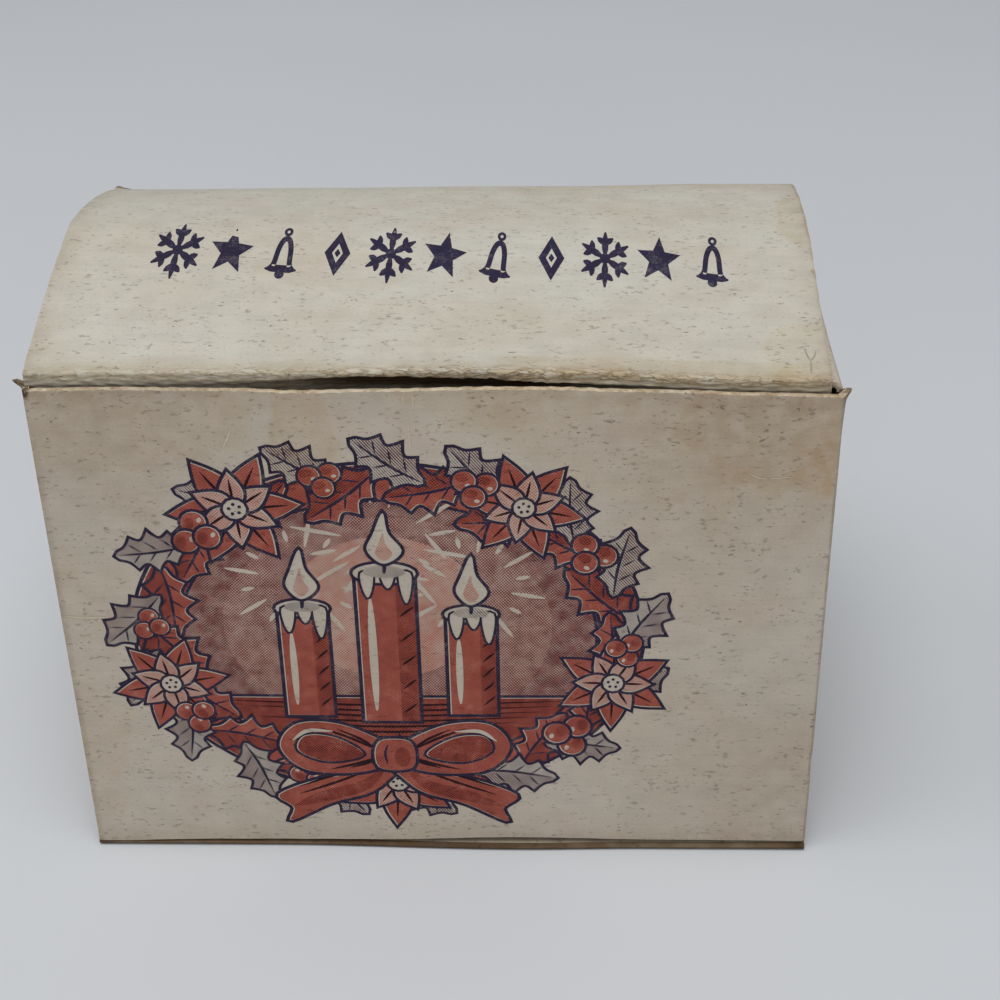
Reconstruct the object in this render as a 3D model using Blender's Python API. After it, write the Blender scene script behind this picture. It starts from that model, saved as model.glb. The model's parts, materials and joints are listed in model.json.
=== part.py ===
"""Small tuck-end folding carton of recycled board, closed and empty.

The carton is one printed sheet, creased and glued into a sleeve. Its back panel carries a lid at the
top and another at the bottom. Each lid ends in a tuck flap that goes in behind the front panel. The
lids turn on their creases, so they are pieces of their own, and the sleeve with its dust flaps is one
folded piece.

The origin is the middle of the carton on the surface that it stands on. The front faces -Y, +X is to
the right and +Z is up. Lengths are metres and angles are degrees.
"""

import math

import bmesh
import bpy
from mathutils import Vector

# Outside sizes of the standing carton
WIDTH = 0.0760
DEPTH = 0.0457
HEIGHT = 0.0564

# Board and its creases, radii taken on the outer face
BOARD = 0.0006
CORNER_RADIUS = 0.0009
CREASE_RADIUS = 0.0009
FOLD_RADIUS = 0.0010
CLEARANCE = 0.0003

# Front panel, whose raw edges lie open between the two lids
FRONT_RAW_TOP = 0.0002
FRONT_RAW_BOTTOM = 0.0011

# Glue flap, lapped inside the back panel's left end
GLUE_FLAP_WIDTH = 0.0100

# Dust flaps on both side panels
DUST_FLAP_LENGTH = 0.0250
DUST_FLAP_TAPER = 0.0040
DUST_FLAP_TIP_RADIUS = 0.0050
DUST_FLAP_RISE = 2.5

# Lids and their tuck flaps
LID_INSET = 0.00065
LID_SHIFT = -0.00025
TUCK_SIDE_GAP = 0.0009
TUCK_LENGTH = 0.0100
TUCK_TIP_RADIUS = 0.0050
TOP_TUCK_EXTRA_LEAN = 8.0
BOTTOM_TUCK_EXTRA_LEAN = 1.5

# Bow of the top lid above its crease, at its left and right edges
BOW_LEFT = 0.0059
BOW_RIGHT = 0.0040
BOW_PEAK_FROM_BACK_LEFT = 0.0210
BOW_PEAK_FROM_BACK_RIGHT = 0.0165
FRONT_RISE_LEFT = 0.0014
FRONT_RISE_RIGHT = 0.0009

# Steps of the mesh
CORNER_STEPS = 4
FOLD_STEPS = 6
BOW_STEPS = 20
TIP_STEPS = 5
TIP_LAST_ANGLE = 80.0
PANEL_SPANS = 4
LID_SPANS = 6
SHARP_ANGLE = 35.0

# Colours of the aged board
PRINTED_FACE_COLOUR = (0.52, 0.49, 0.42, 1.0)
LID_FACE_COLOUR = (0.56, 0.53, 0.46, 1.0)
BASE_FACE_COLOUR = (0.45, 0.41, 0.34, 1.0)
BOARD_ROUGHNESS = 0.9

# Places that follow from the sizes above
BACK_FACE = DEPTH / 2
FRONT_FACE = -DEPTH / 2
LID_REACH = DEPTH - BOARD - CLEARANCE
LID_HALF_WIDTH = WIDTH / 2 - LID_INSET
TUCK_HALF_WIDTH = WIDTH / 2 - BOARD - TUCK_SIDE_GAP
SIDE_TOP = HEIGHT - BOARD - CLEARANCE
SIDE_BOTTOM = BOARD + CLEARANCE
WALL_LOW = SIDE_BOTTOM + CREASE_RADIUS
WALL_HIGH = SIDE_TOP - CREASE_RADIUS
MITRE_SETBACK = CLEARANCE / math.sqrt(2)


class Sheet:
    """A folded board, held as pairs of points on its outer and inner faces and the quads between."""

    def __init__(self):
        self.outer = []
        self.inner = []
        self.quads = []

    def pair(self, outer, inner):
        """Add one point of the outer face with the inner point behind it."""
        self.outer.append(Vector(outer))
        self.inner.append(Vector(inner))
        return len(self.outer) - 1

    def strip(self, first, second):
        """Join two rows of pairs with quads."""
        for left in range(len(first) - 1):
            right = left + 1
            self.quads.append((first[left], first[right], second[right], second[left]))

    def raw_edges(self):
        """The edges that only one quad uses, which are the cut edges of the board."""
        uses = {}
        for quad in self.quads:
            for start, end in zip(quad, quad[1:] + quad[:1]):
                key = frozenset((start, end))
                uses.setdefault(key, []).append((start, end))
        return [places[0] for places in uses.values() if len(places) == 1]

    def make(self, name, material, origin):
        """Close the two faces along the cut edges and make the object, with its origin where asked."""
        shape = bmesh.new()
        place = Vector(origin)
        outer = [shape.verts.new(point - place) for point in self.outer]
        inner = [shape.verts.new(point - place) for point in self.inner]
        for quad in self.quads:
            shape.faces.new([outer[index] for index in quad])
            shape.faces.new([inner[index] for index in reversed(quad)])
        for start, end in self.raw_edges():
            shape.faces.new([outer[end], outer[start], inner[start], inner[end]])
        bmesh.ops.recalc_face_normals(shape, faces=shape.faces)
        mesh = bpy.data.meshes.new(name)
        shape.to_mesh(mesh)
        shape.free()
        mesh.shade_smooth()
        mesh.set_sharp_from_angle(angle=math.radians(SHARP_ANGLE))
        mesh.materials.append(material)
        piece = bpy.data.objects.new(name, mesh)
        piece.location = place
        bpy.context.scene.collection.objects.link(piece)
        return piece


def spread(start, end, spans):
    """Evenly spaced values from start to end, both included."""
    return [start + (end - start) * step / spans for step in range(spans + 1)]


def blend(left, right, share):
    """The value a share of the way from left to right."""
    return left + (right - left) * share


def tip_inset(distance, length, radius):
    """How far a rounded flap's side has drawn in at a distance from its crease."""
    past = max(0.0, distance - (length - radius))
    return radius - math.sqrt(max(0.0, radius * radius - past * past))


def tip_distances(length, radius):
    """Distances from the crease for a flap's rows, closer together round its tip."""
    round_part = [length - radius + radius * math.sin(math.radians(angle))
                  for angle in spread(0.0, TIP_LAST_ANGLE, TIP_STEPS)]
    return round_part + [length]


def board_material(name, colour):
    """Matt recycled board."""
    material = bpy.data.materials.new(name)
    material.use_nodes = True
    surface = material.node_tree.nodes["Principled BSDF"]
    surface.inputs["Base Color"].default_value = colour
    surface.inputs["Roughness"].default_value = BOARD_ROUGHNESS
    surface.inputs["Metallic"].default_value = 0.0
    material.diffuse_color = colour
    return material


def tuck_lean(extra_lean):
    """Inward lean of a tuck flap, so that its tip swings clear of the front panel."""
    return math.asin(TUCK_LENGTH / (2 * LID_REACH)) + math.radians(extra_lean)


def dust_flap_front():
    """Y of the dust flaps' front edges, just behind the path of the tuck flaps."""
    steepest = max(tuck_lean(TOP_TUCK_EXTRA_LEAN), tuck_lean(BOTTOM_TUCK_EXTRA_LEAN))
    swept = (LID_REACH - BOARD) * math.cos(steepest)
    return BACK_FACE - swept + CLEARANCE


def dust_flap_back():
    """Y of the dust flaps' back edges, clear of the glue flap."""
    return BACK_FACE - 2 * BOARD - CLEARANCE


def corner_columns(name, across, along, first_angle):
    """Columns round one upright corner, anticlockwise in plan."""
    columns = []
    centre = (across * (WIDTH / 2 - CORNER_RADIUS), along * (DEPTH / 2 - CORNER_RADIUS))
    for angle in spread(first_angle, first_angle + 90.0, CORNER_STEPS):
        turn = (math.cos(math.radians(angle)), math.sin(math.radians(angle)))
        outer = [centre[axis] + CORNER_RADIUS * turn[axis] for axis in (0, 1)]
        inner = [centre[axis] + (CORNER_RADIUS - BOARD) * turn[axis] for axis in (0, 1)]
        columns.append({"wall": name, "outer": outer, "inner": inner})
    return columns


def front_columns():
    """Columns between the ends of the front panel."""
    end = WIDTH / 2 - CORNER_RADIUS
    return [{"wall": "front", "outer": (x, FRONT_FACE), "inner": (x, FRONT_FACE + BOARD)}
            for x in spread(-end, end, PANEL_SPANS)[1:-1]]


def back_columns():
    """Columns between the ends of the back panel, doubled where the glue flap laps it."""
    end = WIDTH / 2 - CORNER_RADIUS
    glue_edge = -WIDTH / 2 + BOARD + GLUE_FLAP_WIDTH
    columns = []
    for x in spread(end, glue_edge + BOARD, PANEL_SPANS)[1:]:
        columns.append({"wall": "back", "outer": (x, BACK_FACE), "inner": (x, BACK_FACE - BOARD)})
    for x in (glue_edge, -end + BOARD):
        columns.append({"wall": "back", "outer": (x, BACK_FACE), "inner": (x, BACK_FACE - BOARD),
                        "lapped": (x, BACK_FACE - 2 * BOARD)})
    return columns


def side_columns(across):
    """Columns of a side panel that carry its dust flaps, from the front to the back."""
    x = across * WIDTH / 2
    inside = across * (WIDTH / 2 - BOARD)
    return [{"wall": "side", "outer": (x, y), "inner": (inside, y)}
            for y in spread(dust_flap_front(), dust_flap_back(), PANEL_SPANS)]


def add_dust_flap(sheet, columns, row, across, upward):
    """Turn a dust flap in from the side panel's top (upward 1) or bottom (upward -1)."""
    rise = math.radians(DUST_FLAP_RISE) if upward > 0 else 0.0
    level = WALL_HIGH if upward > 0 else WALL_LOW
    front = dust_flap_front()
    back = dust_flap_back()

    def rounded(radius, angle):
        return CREASE_RADIUS - radius * math.cos(angle), level + upward * radius * math.sin(angle)

    last_turn = math.pi / 2 - rise
    stations = []
    for angle in spread(0.0, last_turn, FOLD_STEPS)[1:]:
        stations.append((rounded(CREASE_RADIUS, angle), rounded(CREASE_RADIUS - BOARD, angle), 0.0))
    crease_outer, crease_inner, _ = stations[-1]
    for distance in tip_distances(DUST_FLAP_LENGTH, DUST_FLAP_TIP_RADIUS):
        step = (distance * math.cos(rise), upward * distance * math.sin(rise))
        inset = DUST_FLAP_TAPER * distance / DUST_FLAP_LENGTH
        inset += tip_inset(distance, DUST_FLAP_LENGTH, DUST_FLAP_TIP_RADIUS)
        outer = (crease_outer[0] + step[0], crease_outer[1] + step[1])
        inner = (crease_inner[0] + step[0], crease_inner[1] + step[1])
        stations.append((outer, inner, inset))

    previous = row
    for outer, inner, inset in stations:
        current = []
        for share in spread(0.0, 1.0, len(columns) - 1):
            y = blend(front + inset, back - inset, share)
            current.append(sheet.pair((across * (WIDTH / 2 - outer[0]), y, outer[1]),
                                      (across * (WIDTH / 2 - inner[0]), y, inner[1])))
        sheet.strip(previous, current)
        previous = current


def wall_ends(column):
    """Heights of a wall's bottom and top edges, each for the outer and the inner face. The back panel's
    edges are mitred to the lids, and its corners stop at the side creases."""
    if column["wall"] in ("front", "front corner"):
        return (FRONT_RAW_BOTTOM, FRONT_RAW_BOTTOM), (HEIGHT + FRONT_RAW_TOP, HEIGHT + FRONT_RAW_TOP)
    if column["wall"] == "back":
        top = HEIGHT - MITRE_SETBACK
        return (MITRE_SETBACK, MITRE_SETBACK + BOARD), (top, top - BOARD)
    return (SIDE_BOTTOM, SIDE_BOTTOM + BOARD), (SIDE_TOP, SIDE_TOP - BOARD)


def build_sleeve(material):
    """The upright walls with the glue flap and the four dust flaps, one folded piece."""
    right_side = side_columns(1)
    left_side = side_columns(-1)
    columns = front_columns()
    columns += corner_columns("front corner", 1, -1, -90.0)
    columns += right_side
    columns += corner_columns("back corner", 1, 1, 0.0)
    columns += back_columns()
    columns += corner_columns("back corner", -1, 1, 90.0)
    columns += reversed(left_side)
    columns += corner_columns("front corner", -1, -1, 180.0)

    sheet = Sheet()
    for column in columns:
        x, y = column["outer"]
        inside_x, inside_y = column.get("lapped", column["inner"])
        column["low"] = sheet.pair((x, y, WALL_LOW), (inside_x, inside_y, WALL_LOW))
        column["high"] = sheet.pair((x, y, WALL_HIGH), (inside_x, inside_y, WALL_HIGH))
        if column["wall"] != "side":
            inside_x, inside_y = column["inner"]
            bottom, top = wall_ends(column)
            column["bottom"] = sheet.pair((x, y, bottom[0]), (inside_x, inside_y, bottom[1]))
            column["top"] = sheet.pair((x, y, top[0]), (inside_x, inside_y, top[1]))

    for here, there in zip(columns, columns[1:] + columns[:1]):
        sheet.strip((here["low"], there["low"]), (here["high"], there["high"]))
        if here["wall"] != "side" and there["wall"] != "side":
            sheet.strip((here["bottom"], there["bottom"]), (here["low"], there["low"]))
            sheet.strip((here["high"], there["high"]), (here["top"], there["top"]))

    for side, across in ((right_side, 1), (left_side, -1)):
        add_dust_flap(sheet, side, [column["high"] for column in side], across, 1)
        add_dust_flap(sheet, side, [column["low"] for column in side], across, -1)
    return sheet.make("carton_sleeve", material, (0.0, 0.0, 0.0))


def bow_height(y, bow, peak_from_back, front_rise):
    """Height of the bowed lid above its crease, and the slope of its face, at y."""
    peak = BACK_FACE - peak_from_back
    start = BACK_FACE - LID_REACH
    if y >= peak:
        turn = math.pi / 2 * (BACK_FACE - y) / peak_from_back
        return bow * math.sin(turn), -bow * math.cos(turn) * math.pi / 2 / peak_from_back
    turn = math.pi / 2 * (y - start) / (peak - start)
    climb = bow - front_rise
    return front_rise + climb * math.sin(turn), climb * math.cos(turn) * math.pi / 2 / (peak - start)


def lid_profile(bow, peak_from_back, front_rise, lean):
    """Rows of a lid from its crease to its tuck flap's tip: the outer point, the inner point and the
    half width. A point is its Y and its height above the crease. A flat lid has no bow or rise."""
    fold_centre = BACK_FACE - LID_REACH + FOLD_RADIUS
    _, front_slope = bow_height(fold_centre, bow, peak_from_back, front_rise)
    droop = math.atan(front_slope)
    fold_start = fold_centre - FOLD_RADIUS * math.sin(droop)

    _, back_slope = bow_height(BACK_FACE, bow, peak_from_back, front_rise)
    climb = math.atan(-back_slope)
    back_outer = (BACK_FACE - MITRE_SETBACK * math.cos(climb), MITRE_SETBACK * math.sin(climb))
    back_inner = (back_outer[0] - BOARD * (math.sin(climb) + math.cos(climb)),
                  back_outer[1] - BOARD * (math.cos(climb) - math.sin(climb)))
    rows = [(back_outer, back_inner, LID_HALF_WIDTH)]

    clear_of_mitre = BACK_FACE - MITRE_SETBACK - 2 * BOARD
    for y in spread(clear_of_mitre, fold_start, BOW_STEPS):
        height, slope = bow_height(y, bow, peak_from_back, front_rise)
        tilt = math.atan(slope)
        inner = (y + BOARD * math.sin(tilt), height - BOARD * math.cos(tilt))
        rows.append(((y, height), inner, LID_HALF_WIDTH))

    fold_height = rows[-1][0][1] - FOLD_RADIUS * math.cos(droop)
    for turn in spread(math.pi + droop, 1.5 * math.pi + lean, FOLD_STEPS)[1:]:
        outer = (fold_centre + FOLD_RADIUS * math.sin(turn), fold_height - FOLD_RADIUS * math.cos(turn))
        inside = FOLD_RADIUS - BOARD
        inner = (fold_centre + inside * math.sin(turn), fold_height - inside * math.cos(turn))
        rows.append((outer, inner, TUCK_HALF_WIDTH))

    fold_outer, fold_inner, _ = rows[-1]
    for distance in tip_distances(TUCK_LENGTH, TUCK_TIP_RADIUS):
        step = (distance * math.sin(lean), -distance * math.cos(lean))
        half = TUCK_HALF_WIDTH - tip_inset(distance, TUCK_LENGTH, TUCK_TIP_RADIUS)
        outer = (fold_outer[0] + step[0], fold_outer[1] + step[1])
        inner = (fold_inner[0] + step[0], fold_inner[1] + step[1])
        rows.append((outer, inner, half))
    return rows


def build_lid(name, material, profiles, hinge_height, upward):
    """A lid panel with its tuck flap, between its left and right profiles. Its origin is on the crease
    that it turns on."""
    left_profile, right_profile = profiles
    sheet = Sheet()
    previous = None
    for left, right in zip(left_profile, right_profile):
        current = []
        for share in spread(0.0, 1.0, LID_SPANS):
            x = LID_SHIFT + left[2] * (2 * share - 1)
            outer = [blend(left[0][axis], right[0][axis], share) for axis in (0, 1)]
            inner = [blend(left[1][axis], right[1][axis], share) for axis in (0, 1)]
            current.append(sheet.pair((x, outer[0], hinge_height + upward * outer[1]),
                                      (x, inner[0], hinge_height + upward * inner[1])))
        if previous:
            sheet.strip(previous, current)
        previous = current
    return sheet.make(name, material, (0.0, BACK_FACE, hinge_height))


def build_top_lid(material):
    """The bowed top lid, higher at its left edge than at its right."""
    lean = tuck_lean(TOP_TUCK_EXTRA_LEAN)
    left = lid_profile(BOW_LEFT, BOW_PEAK_FROM_BACK_LEFT, FRONT_RISE_LEFT, lean)
    right = lid_profile(BOW_RIGHT, BOW_PEAK_FROM_BACK_RIGHT, FRONT_RISE_RIGHT, lean)
    return build_lid("top_lid", material, (left, right), HEIGHT, 1)


def build_bottom_lid(material):
    """The flat bottom lid that the carton stands on."""
    flat = lid_profile(0.0, BOW_PEAK_FROM_BACK_RIGHT, 0.0, tuck_lean(BOTTOM_TUCK_EXTRA_LEAN))
    return build_lid("bottom_lid", material, (flat, flat), 0.0, -1)


def build_carton():
    """Clear the scene and make the carton's three pieces."""
    for old in list(bpy.data.objects):
        bpy.data.objects.remove(old, do_unlink=True)
    build_sleeve(board_material("sleeve_board", PRINTED_FACE_COLOUR))
    build_top_lid(board_material("top_lid_board", LID_FACE_COLOUR))
    build_bottom_lid(board_material("bottom_lid_board", BASE_FACE_COLOUR))


build_carton()
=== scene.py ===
"""Looks of a small, aged tuck-end carton of recycled board.

The three boards are built here with their thickness, folds, raw edges, dents and wear, and stand for the
plain solids of the frame. The print is drawn as flat shapes, cut into one skin and laid on the boards as
a thin film of ink. Lengths are metres and places are those of the frame: the carton stands at the origin,
its front panel faces -Y and Z is up. Every board also keeps the place that each point has on the flat
sheet, in its UV map, so that fleck, streaks and the print's screens run on round the folds.
"""

import json
import math

import bmesh
import bpy
import numpy as np
from bpy.props import FloatProperty, FloatVectorProperty, IntProperty, PointerProperty
from mathutils import Matrix, Vector
from mathutils.geometry import delaunay_2d_cdt


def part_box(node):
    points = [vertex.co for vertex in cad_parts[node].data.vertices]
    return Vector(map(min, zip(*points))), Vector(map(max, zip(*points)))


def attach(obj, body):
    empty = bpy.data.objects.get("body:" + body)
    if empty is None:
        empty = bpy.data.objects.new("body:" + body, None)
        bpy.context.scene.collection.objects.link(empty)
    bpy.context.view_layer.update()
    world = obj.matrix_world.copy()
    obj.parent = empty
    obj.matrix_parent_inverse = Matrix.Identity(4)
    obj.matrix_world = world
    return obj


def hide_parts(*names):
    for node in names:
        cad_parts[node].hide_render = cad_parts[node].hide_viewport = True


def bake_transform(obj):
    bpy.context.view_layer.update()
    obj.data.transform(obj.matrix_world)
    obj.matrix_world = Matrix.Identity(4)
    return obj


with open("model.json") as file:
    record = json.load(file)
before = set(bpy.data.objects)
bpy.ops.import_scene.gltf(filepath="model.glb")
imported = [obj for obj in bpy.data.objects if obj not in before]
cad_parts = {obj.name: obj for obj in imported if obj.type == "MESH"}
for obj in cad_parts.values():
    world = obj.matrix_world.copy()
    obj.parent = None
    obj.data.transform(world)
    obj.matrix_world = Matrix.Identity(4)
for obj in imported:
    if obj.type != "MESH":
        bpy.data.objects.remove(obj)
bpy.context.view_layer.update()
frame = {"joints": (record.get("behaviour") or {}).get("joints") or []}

bl_info = {
    "name": "Aged tuck-end carton",
    "version": (1, 0, 0),
    "blender": (4, 5, 0),
    "location": "View3D > Sidebar > Carton",
    "description": "Builds the detailed boards, the print and the stage of a small folding carton",
    "category": "Object",
}

MM = 0.001
SHEET_MAP = "sheet"

# Sizes taken from the frame
SLEEVE_LOW, SLEEVE_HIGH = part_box("carton_sleeve")
LID_LOW, LID_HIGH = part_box("top_lid")
CREASE_PLACES = {joint["name"]: joint["pos_m"] for joint in frame["joints"]}
TOP_CREASE = CREASE_PLACES["top_lid_hinge"][2]
BOTTOM_CREASE = CREASE_PLACES["bottom_lid_hinge"][2]
WIDTH = SLEEVE_HIGH.x - SLEEVE_LOW.x
FRONT = SLEEVE_LOW.y
BACK = SLEEVE_HIGH.y
DEPTH = BACK - FRONT
LID_CENTRE = (LID_LOW.x + LID_HIGH.x) / 2
LID_HALF_WIDTH = (LID_HIGH.x - LID_LOW.x) / 2
LID_FRONT = LID_LOW.y

# Sleeve
CORNER_SPANS = 8
WALL_LOW = 1.8 * MM
WALL_HIGH = TOP_CREASE - 1.8 * MM
SIDE_CREASE_RADIUS = 0.9 * MM
STRIP = 2.0 * MM
BACK_END_INSET = 0.3 * MM
GLUE_FLAP = 10.0 * MM
GLUE_GAP = 0.03 * MM
GLUE_END_INSET = 1.5 * MM
GLUE_TAPER = 2.5 * MM
DUST_NOTCH_FRONT = 3.2 * MM
DUST_NOTCH_BACK = 1.5 * MM
DUST_TAPER = 4.0 * MM
DUST_TIP_RADIUS = 5.0 * MM
DUST_RISE = math.radians(2.5)
FLAP_LEAP = 0.3 * MM

# Raw edges of the front panel: x and height over the top crease, x and height over the table
RAW_TOP = ((-38.0, 0.06), (-30.0, 0.20), (-18.0, 0.06), (-13.0, -0.20), (-4.0, -0.04), (5.0, 0.12),
           (10.0, 0.09), (19.0, -0.16), (24.0, -0.28), (29.0, -0.52), (38.0, -0.74))
RAW_BOTTOM = ((-38.0, 0.66), (-24.0, 0.95), (-8.0, 1.06), (8.0, 1.38), (22.0, 1.22), (38.0, 1.12))
RAW_NIBBLE = 0.05 * MM

# Pinched ears behind the top of the front corners, the right side's flare, the nick in the right front edge
EAR_LEFT = {"out": 1.20 * MM, "back": 1.6 * MM}
EAR_RIGHT = {"out": 0.45 * MM, "back": 0.95 * MM}
EAR_REACH = 0.50 * MM
EAR_DROP = 0.6 * MM
EAR_RISE = 0.35 * MM
FLARE_RIGHT = 0.30 * MM
FLARE_GROWTH = 1.2 * MM
FLARE_REACH = 8.0 * MM
FLARE_DROP = 4.0 * MM
NICK_HEIGHT = 11.5 * MM
NICK_DEPTH = 0.35 * MM
NICK_REACH = 0.9 * MM

# Lids
BACK_CREASE_RADIUS = 0.62 * MM
TUCK_HALF_WIDTH = 36.5 * MM
TUCK_TIP_RADIUS = 5.0 * MM
TOP_TUCK_LEAN = math.radians(14.4)
BOTTOM_TUCK_LEAN = math.radians(7.9)
FOLD_SPANS = 12
LID_SKEW = -0.28 * MM

# Bow of the top lid at its two ends: a climb from the front edge meets a round fall to the back crease
LEFT_BOW = {"rise": 1.20 * MM, "climb": 0.280, "ease": 3.2, "crown": 8.2 * MM, "back": 16.5 * MM,
            "ridge": 0.3 * MM}
RIGHT_BOW = {"rise": 0.62 * MM, "climb": 0.138, "ease": 0.0, "crown": 4.4 * MM, "back": 6.4 * MM,
             "ridge": 0.5 * MM}

# The lid's front fold: x and height of its crease over the back crease, and of the lower end of the band of
# board that shows under it, where the flap falls back behind the dark slot
FOLD_CREST = ((-38.0, 1.44), (-22.0, 1.54), (-8.0, 1.52), (3.0, 1.68), (15.0, 1.42), (24.0, 0.88),
              (30.0, 0.68), (38.0, 0.68))
BAND_FOOT = ((-38.0, 0.24), (-22.0, 0.52), (-4.0, 1.00), (5.0, 0.80), (11.0, 0.42), (19.0, 0.06),
             (26.0, -0.32), (38.0, -0.66))
CREST_BACKWARD = 6.0 * MM
BAND_FOLD_RADIUS = 0.35 * MM
SLOT_PLACE = 1.5 * MM
SLOT_DEPTH = 2.0 * MM
SLOT_HALF_WIDTH = 14.0 * MM
SLOT_FALL = 0.7 * MM
# Half width of the slot's middle, where the tuck flap gets the most painted shade
SLOT_SHADE_HALF_WIDTH = 14.0 * MM
BASE_FOLD_RADIUS = 0.42 * MM
BASE_FORWARD = ((-38.0, 0.98), (-18.0, 0.95), (7.0, 1.52), (20.0, 1.28), (38.0, 1.28))
BASE_WIDENING = 1.016
BASE_FALL = 0.35 * MM
BASE_LIFT = 0.10 * MM

# Crumpled stretch of the lid's front fold
CRUMPLE_PLACE = 6.5 * MM
CRUMPLE_HALF_WIDTH = 9.0 * MM
CRUMPLE_DEPTH = 0.11 * MM
CRUMPLE_SIZE = 1.3 * MM

# Stains with a tide line: x, height or depth, half width, half height, strength, all but the last in
# millimetres
FRONT_STAINS = ((-12.5, 50.5, 3.2, 7.5, 0.9), (31.5, 53.0, 8.0, 7.0, 0.8), (37.5, 49.5, 2.2, 4.0, 0.9),
                (-30.0, 57.0, 14.0, 9.0, 0.5), (8.0, 57.0, 12.0, 4.5, 0.4), (24.0, 58.0, 20.0, 14.0, 0.4),
                (-36.5, 22.0, 4.0, 15.0, 0.35))
LID_STAINS = ((36.5, 6.0, 2.4, 6.5, 0.9), (35.5, -18.0, 4.5, 5.0, 0.6), (-20.0, -22.0, 15.0, 1.8, 0.35),
              (-9.5, -6.5, 7.0, 3.2, 0.35), (24.0, 19.0, 9.0, 3.2, 0.4), (0.0, -14.5, 12.0, 3.5, 0.25))
FRONT_SOIL = ((-33.0, 54.0, 14.0, 12.0, 0.40), (30.0, 54.0, 14.0, 12.0, 0.42), (34.0, 8.0, 10.0, 12.0, 0.30))
TAN_STRIP = (4.7 * MM, 36.3 * MM, -19.3 * MM)

# Print
INK_TONES = {"brick": (0.95, 0.18), "deep": (1.0, 0.46), "rose": (0.52, 0.0), "dusk": (0.55, 0.34),
             "lavender": (0.04, 0.46), "haze": (0.0, 0.30), "navy": (0.12, 1.0), "umber": (1.0, 1.0),
             "maroon": (0.62, 0.50)}
INKS = tuple(INK_TONES)
LINED_INKS = ("dusk", "lavender", "haze")
RED_INKS = ("brick", "deep", "rose", "dusk", "maroon")
BARE = "bare"
OUTLINE = 0.34
MISFIT = 0.05
PRINT_CENTRE = (-5.3, 28.2)
PRINT_SCALE = 1.13
FILM_LIFT = 0.015 * MM
FILM_PITCH = 1.2


class BoardSettings(bpy.types.PropertyGroup):
    """Sizes and colours of the board."""

    thickness: FloatProperty(
        name="Thickness", description="Thickness of the board", default=0.0006, unit="LENGTH", precision=5)
    corner_radius: FloatProperty(
        name="Corner radius", description="Outer radius of the upright folds", default=0.00035, unit="LENGTH",
        precision=5)
    dust_flap: FloatProperty(
        name="Dust flap", description="Length of the dust flaps", default=0.0250, unit="LENGTH", precision=4)
    tuck_flap: FloatProperty(
        name="Tuck flap", description="Length of the tuck flaps", default=0.0100, unit="LENGTH", precision=4)
    sleeve_face: FloatVectorProperty(
        name="Sleeve face", description="Colour of the printed face of the sleeve", subtype="COLOR", size=4,
        min=0.0, max=1.0, default=(0.530, 0.475, 0.405, 1.0))
    lid_face: FloatVectorProperty(
        name="Lid face", description="Colour of the printed face of the top lid", subtype="COLOR", size=4,
        min=0.0, max=1.0, default=(0.520, 0.505, 0.450, 1.0))
    base_face: FloatVectorProperty(
        name="Base face", description="Colour of the outer face of the bottom lid", subtype="COLOR", size=4,
        min=0.0, max=1.0, default=(0.400, 0.340, 0.270, 1.0))
    inner_face: FloatVectorProperty(
        name="Inner face", description="Colour of the inside of the board", subtype="COLOR", size=4,
        min=0.0, max=1.0, default=(0.330, 0.290, 0.235, 1.0))
    raw_edge: FloatVectorProperty(
        name="Raw edge", description="Colour of the cut edges", subtype="COLOR", size=4,
        min=0.0, max=1.0, default=(0.620, 0.545, 0.430, 1.0))


class PrintSettings(bpy.types.PropertyGroup):
    """Inks and dot screen of the print."""

    red: FloatVectorProperty(
        name="Red ink", description="What the red ink lets through of the board's colour", subtype="COLOR",
        size=4, min=0.0, max=1.0, default=(0.740, 0.165, 0.125, 1.0))
    navy: FloatVectorProperty(
        name="Navy ink", description="What the navy ink lets through of the board's colour", subtype="COLOR",
        size=4, min=0.0, max=1.0, default=(0.042, 0.038, 0.125, 1.0))
    screen_pitch: FloatProperty(
        name="Screen pitch", description="Distance between the dots of the screen", default=0.00023,
        unit="LENGTH", precision=6)
    leaves: IntProperty(
        name="Leaves", description="Number of leaves in each ring of the wreath", default=17, min=5, max=40)
    ornaments: IntProperty(
        name="Ornaments", description="Number of ornaments in the row on the lid", default=11, min=1, max=30)
    ornament_spacing: FloatProperty(
        name="Ornament spacing", description="Distance between the ornaments before they are narrowed",
        default=0.0078, unit="LENGTH", precision=5)


class StageSettings(bpy.types.PropertyGroup):
    """Floor, light and camera."""

    floor: FloatVectorProperty(
        name="Floor", description="Colour of the floor and the backdrop", subtype="COLOR", size=4,
        min=0.0, max=1.0, default=(0.562, 0.585, 0.618, 1.0))
    sky: FloatProperty(
        name="Soft light", description="Strength of the light from all round", default=0.29, min=0.0)
    key: FloatProperty(
        name="Key lamp", description="Power of the lamp overhead", default=5.0, min=0.0, unit="POWER")
    side: FloatProperty(
        name="Side lamp", description="Power of the lamp on the left", default=1.2, min=0.0, unit="POWER")
    fill: FloatProperty(
        name="Fill lamp", description="Power of the lamp in front", default=2.6, min=0.0, unit="POWER")
    lens: FloatProperty(
        name="Lens", description="Focal length on a 36 mm sensor", default=69.66, min=1.0)


def new_object(name, data):
    """An object of this data, linked to the scene."""
    piece = bpy.data.objects.new(name, data)
    bpy.context.scene.collection.objects.link(piece)
    return piece


def smooth_min(first, second, width):
    """The lesser of two values, with a rounded corner where they cross."""
    near = np.maximum(width - np.abs(first - second), 0.0) / width
    return np.minimum(first, second) - near * near * width / 4


def smooth_step(value):
    """Rises from 0 to 1 as the value does, with soft ends."""
    share = np.clip(value, 0.0, 1.0)
    return share * share * (3 - 2 * share)


def hill(value, reach):
    """A bell of height 1 at 0 that fades out over the reach."""
    return np.exp(-(np.asarray(value) / reach) ** 2)


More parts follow.
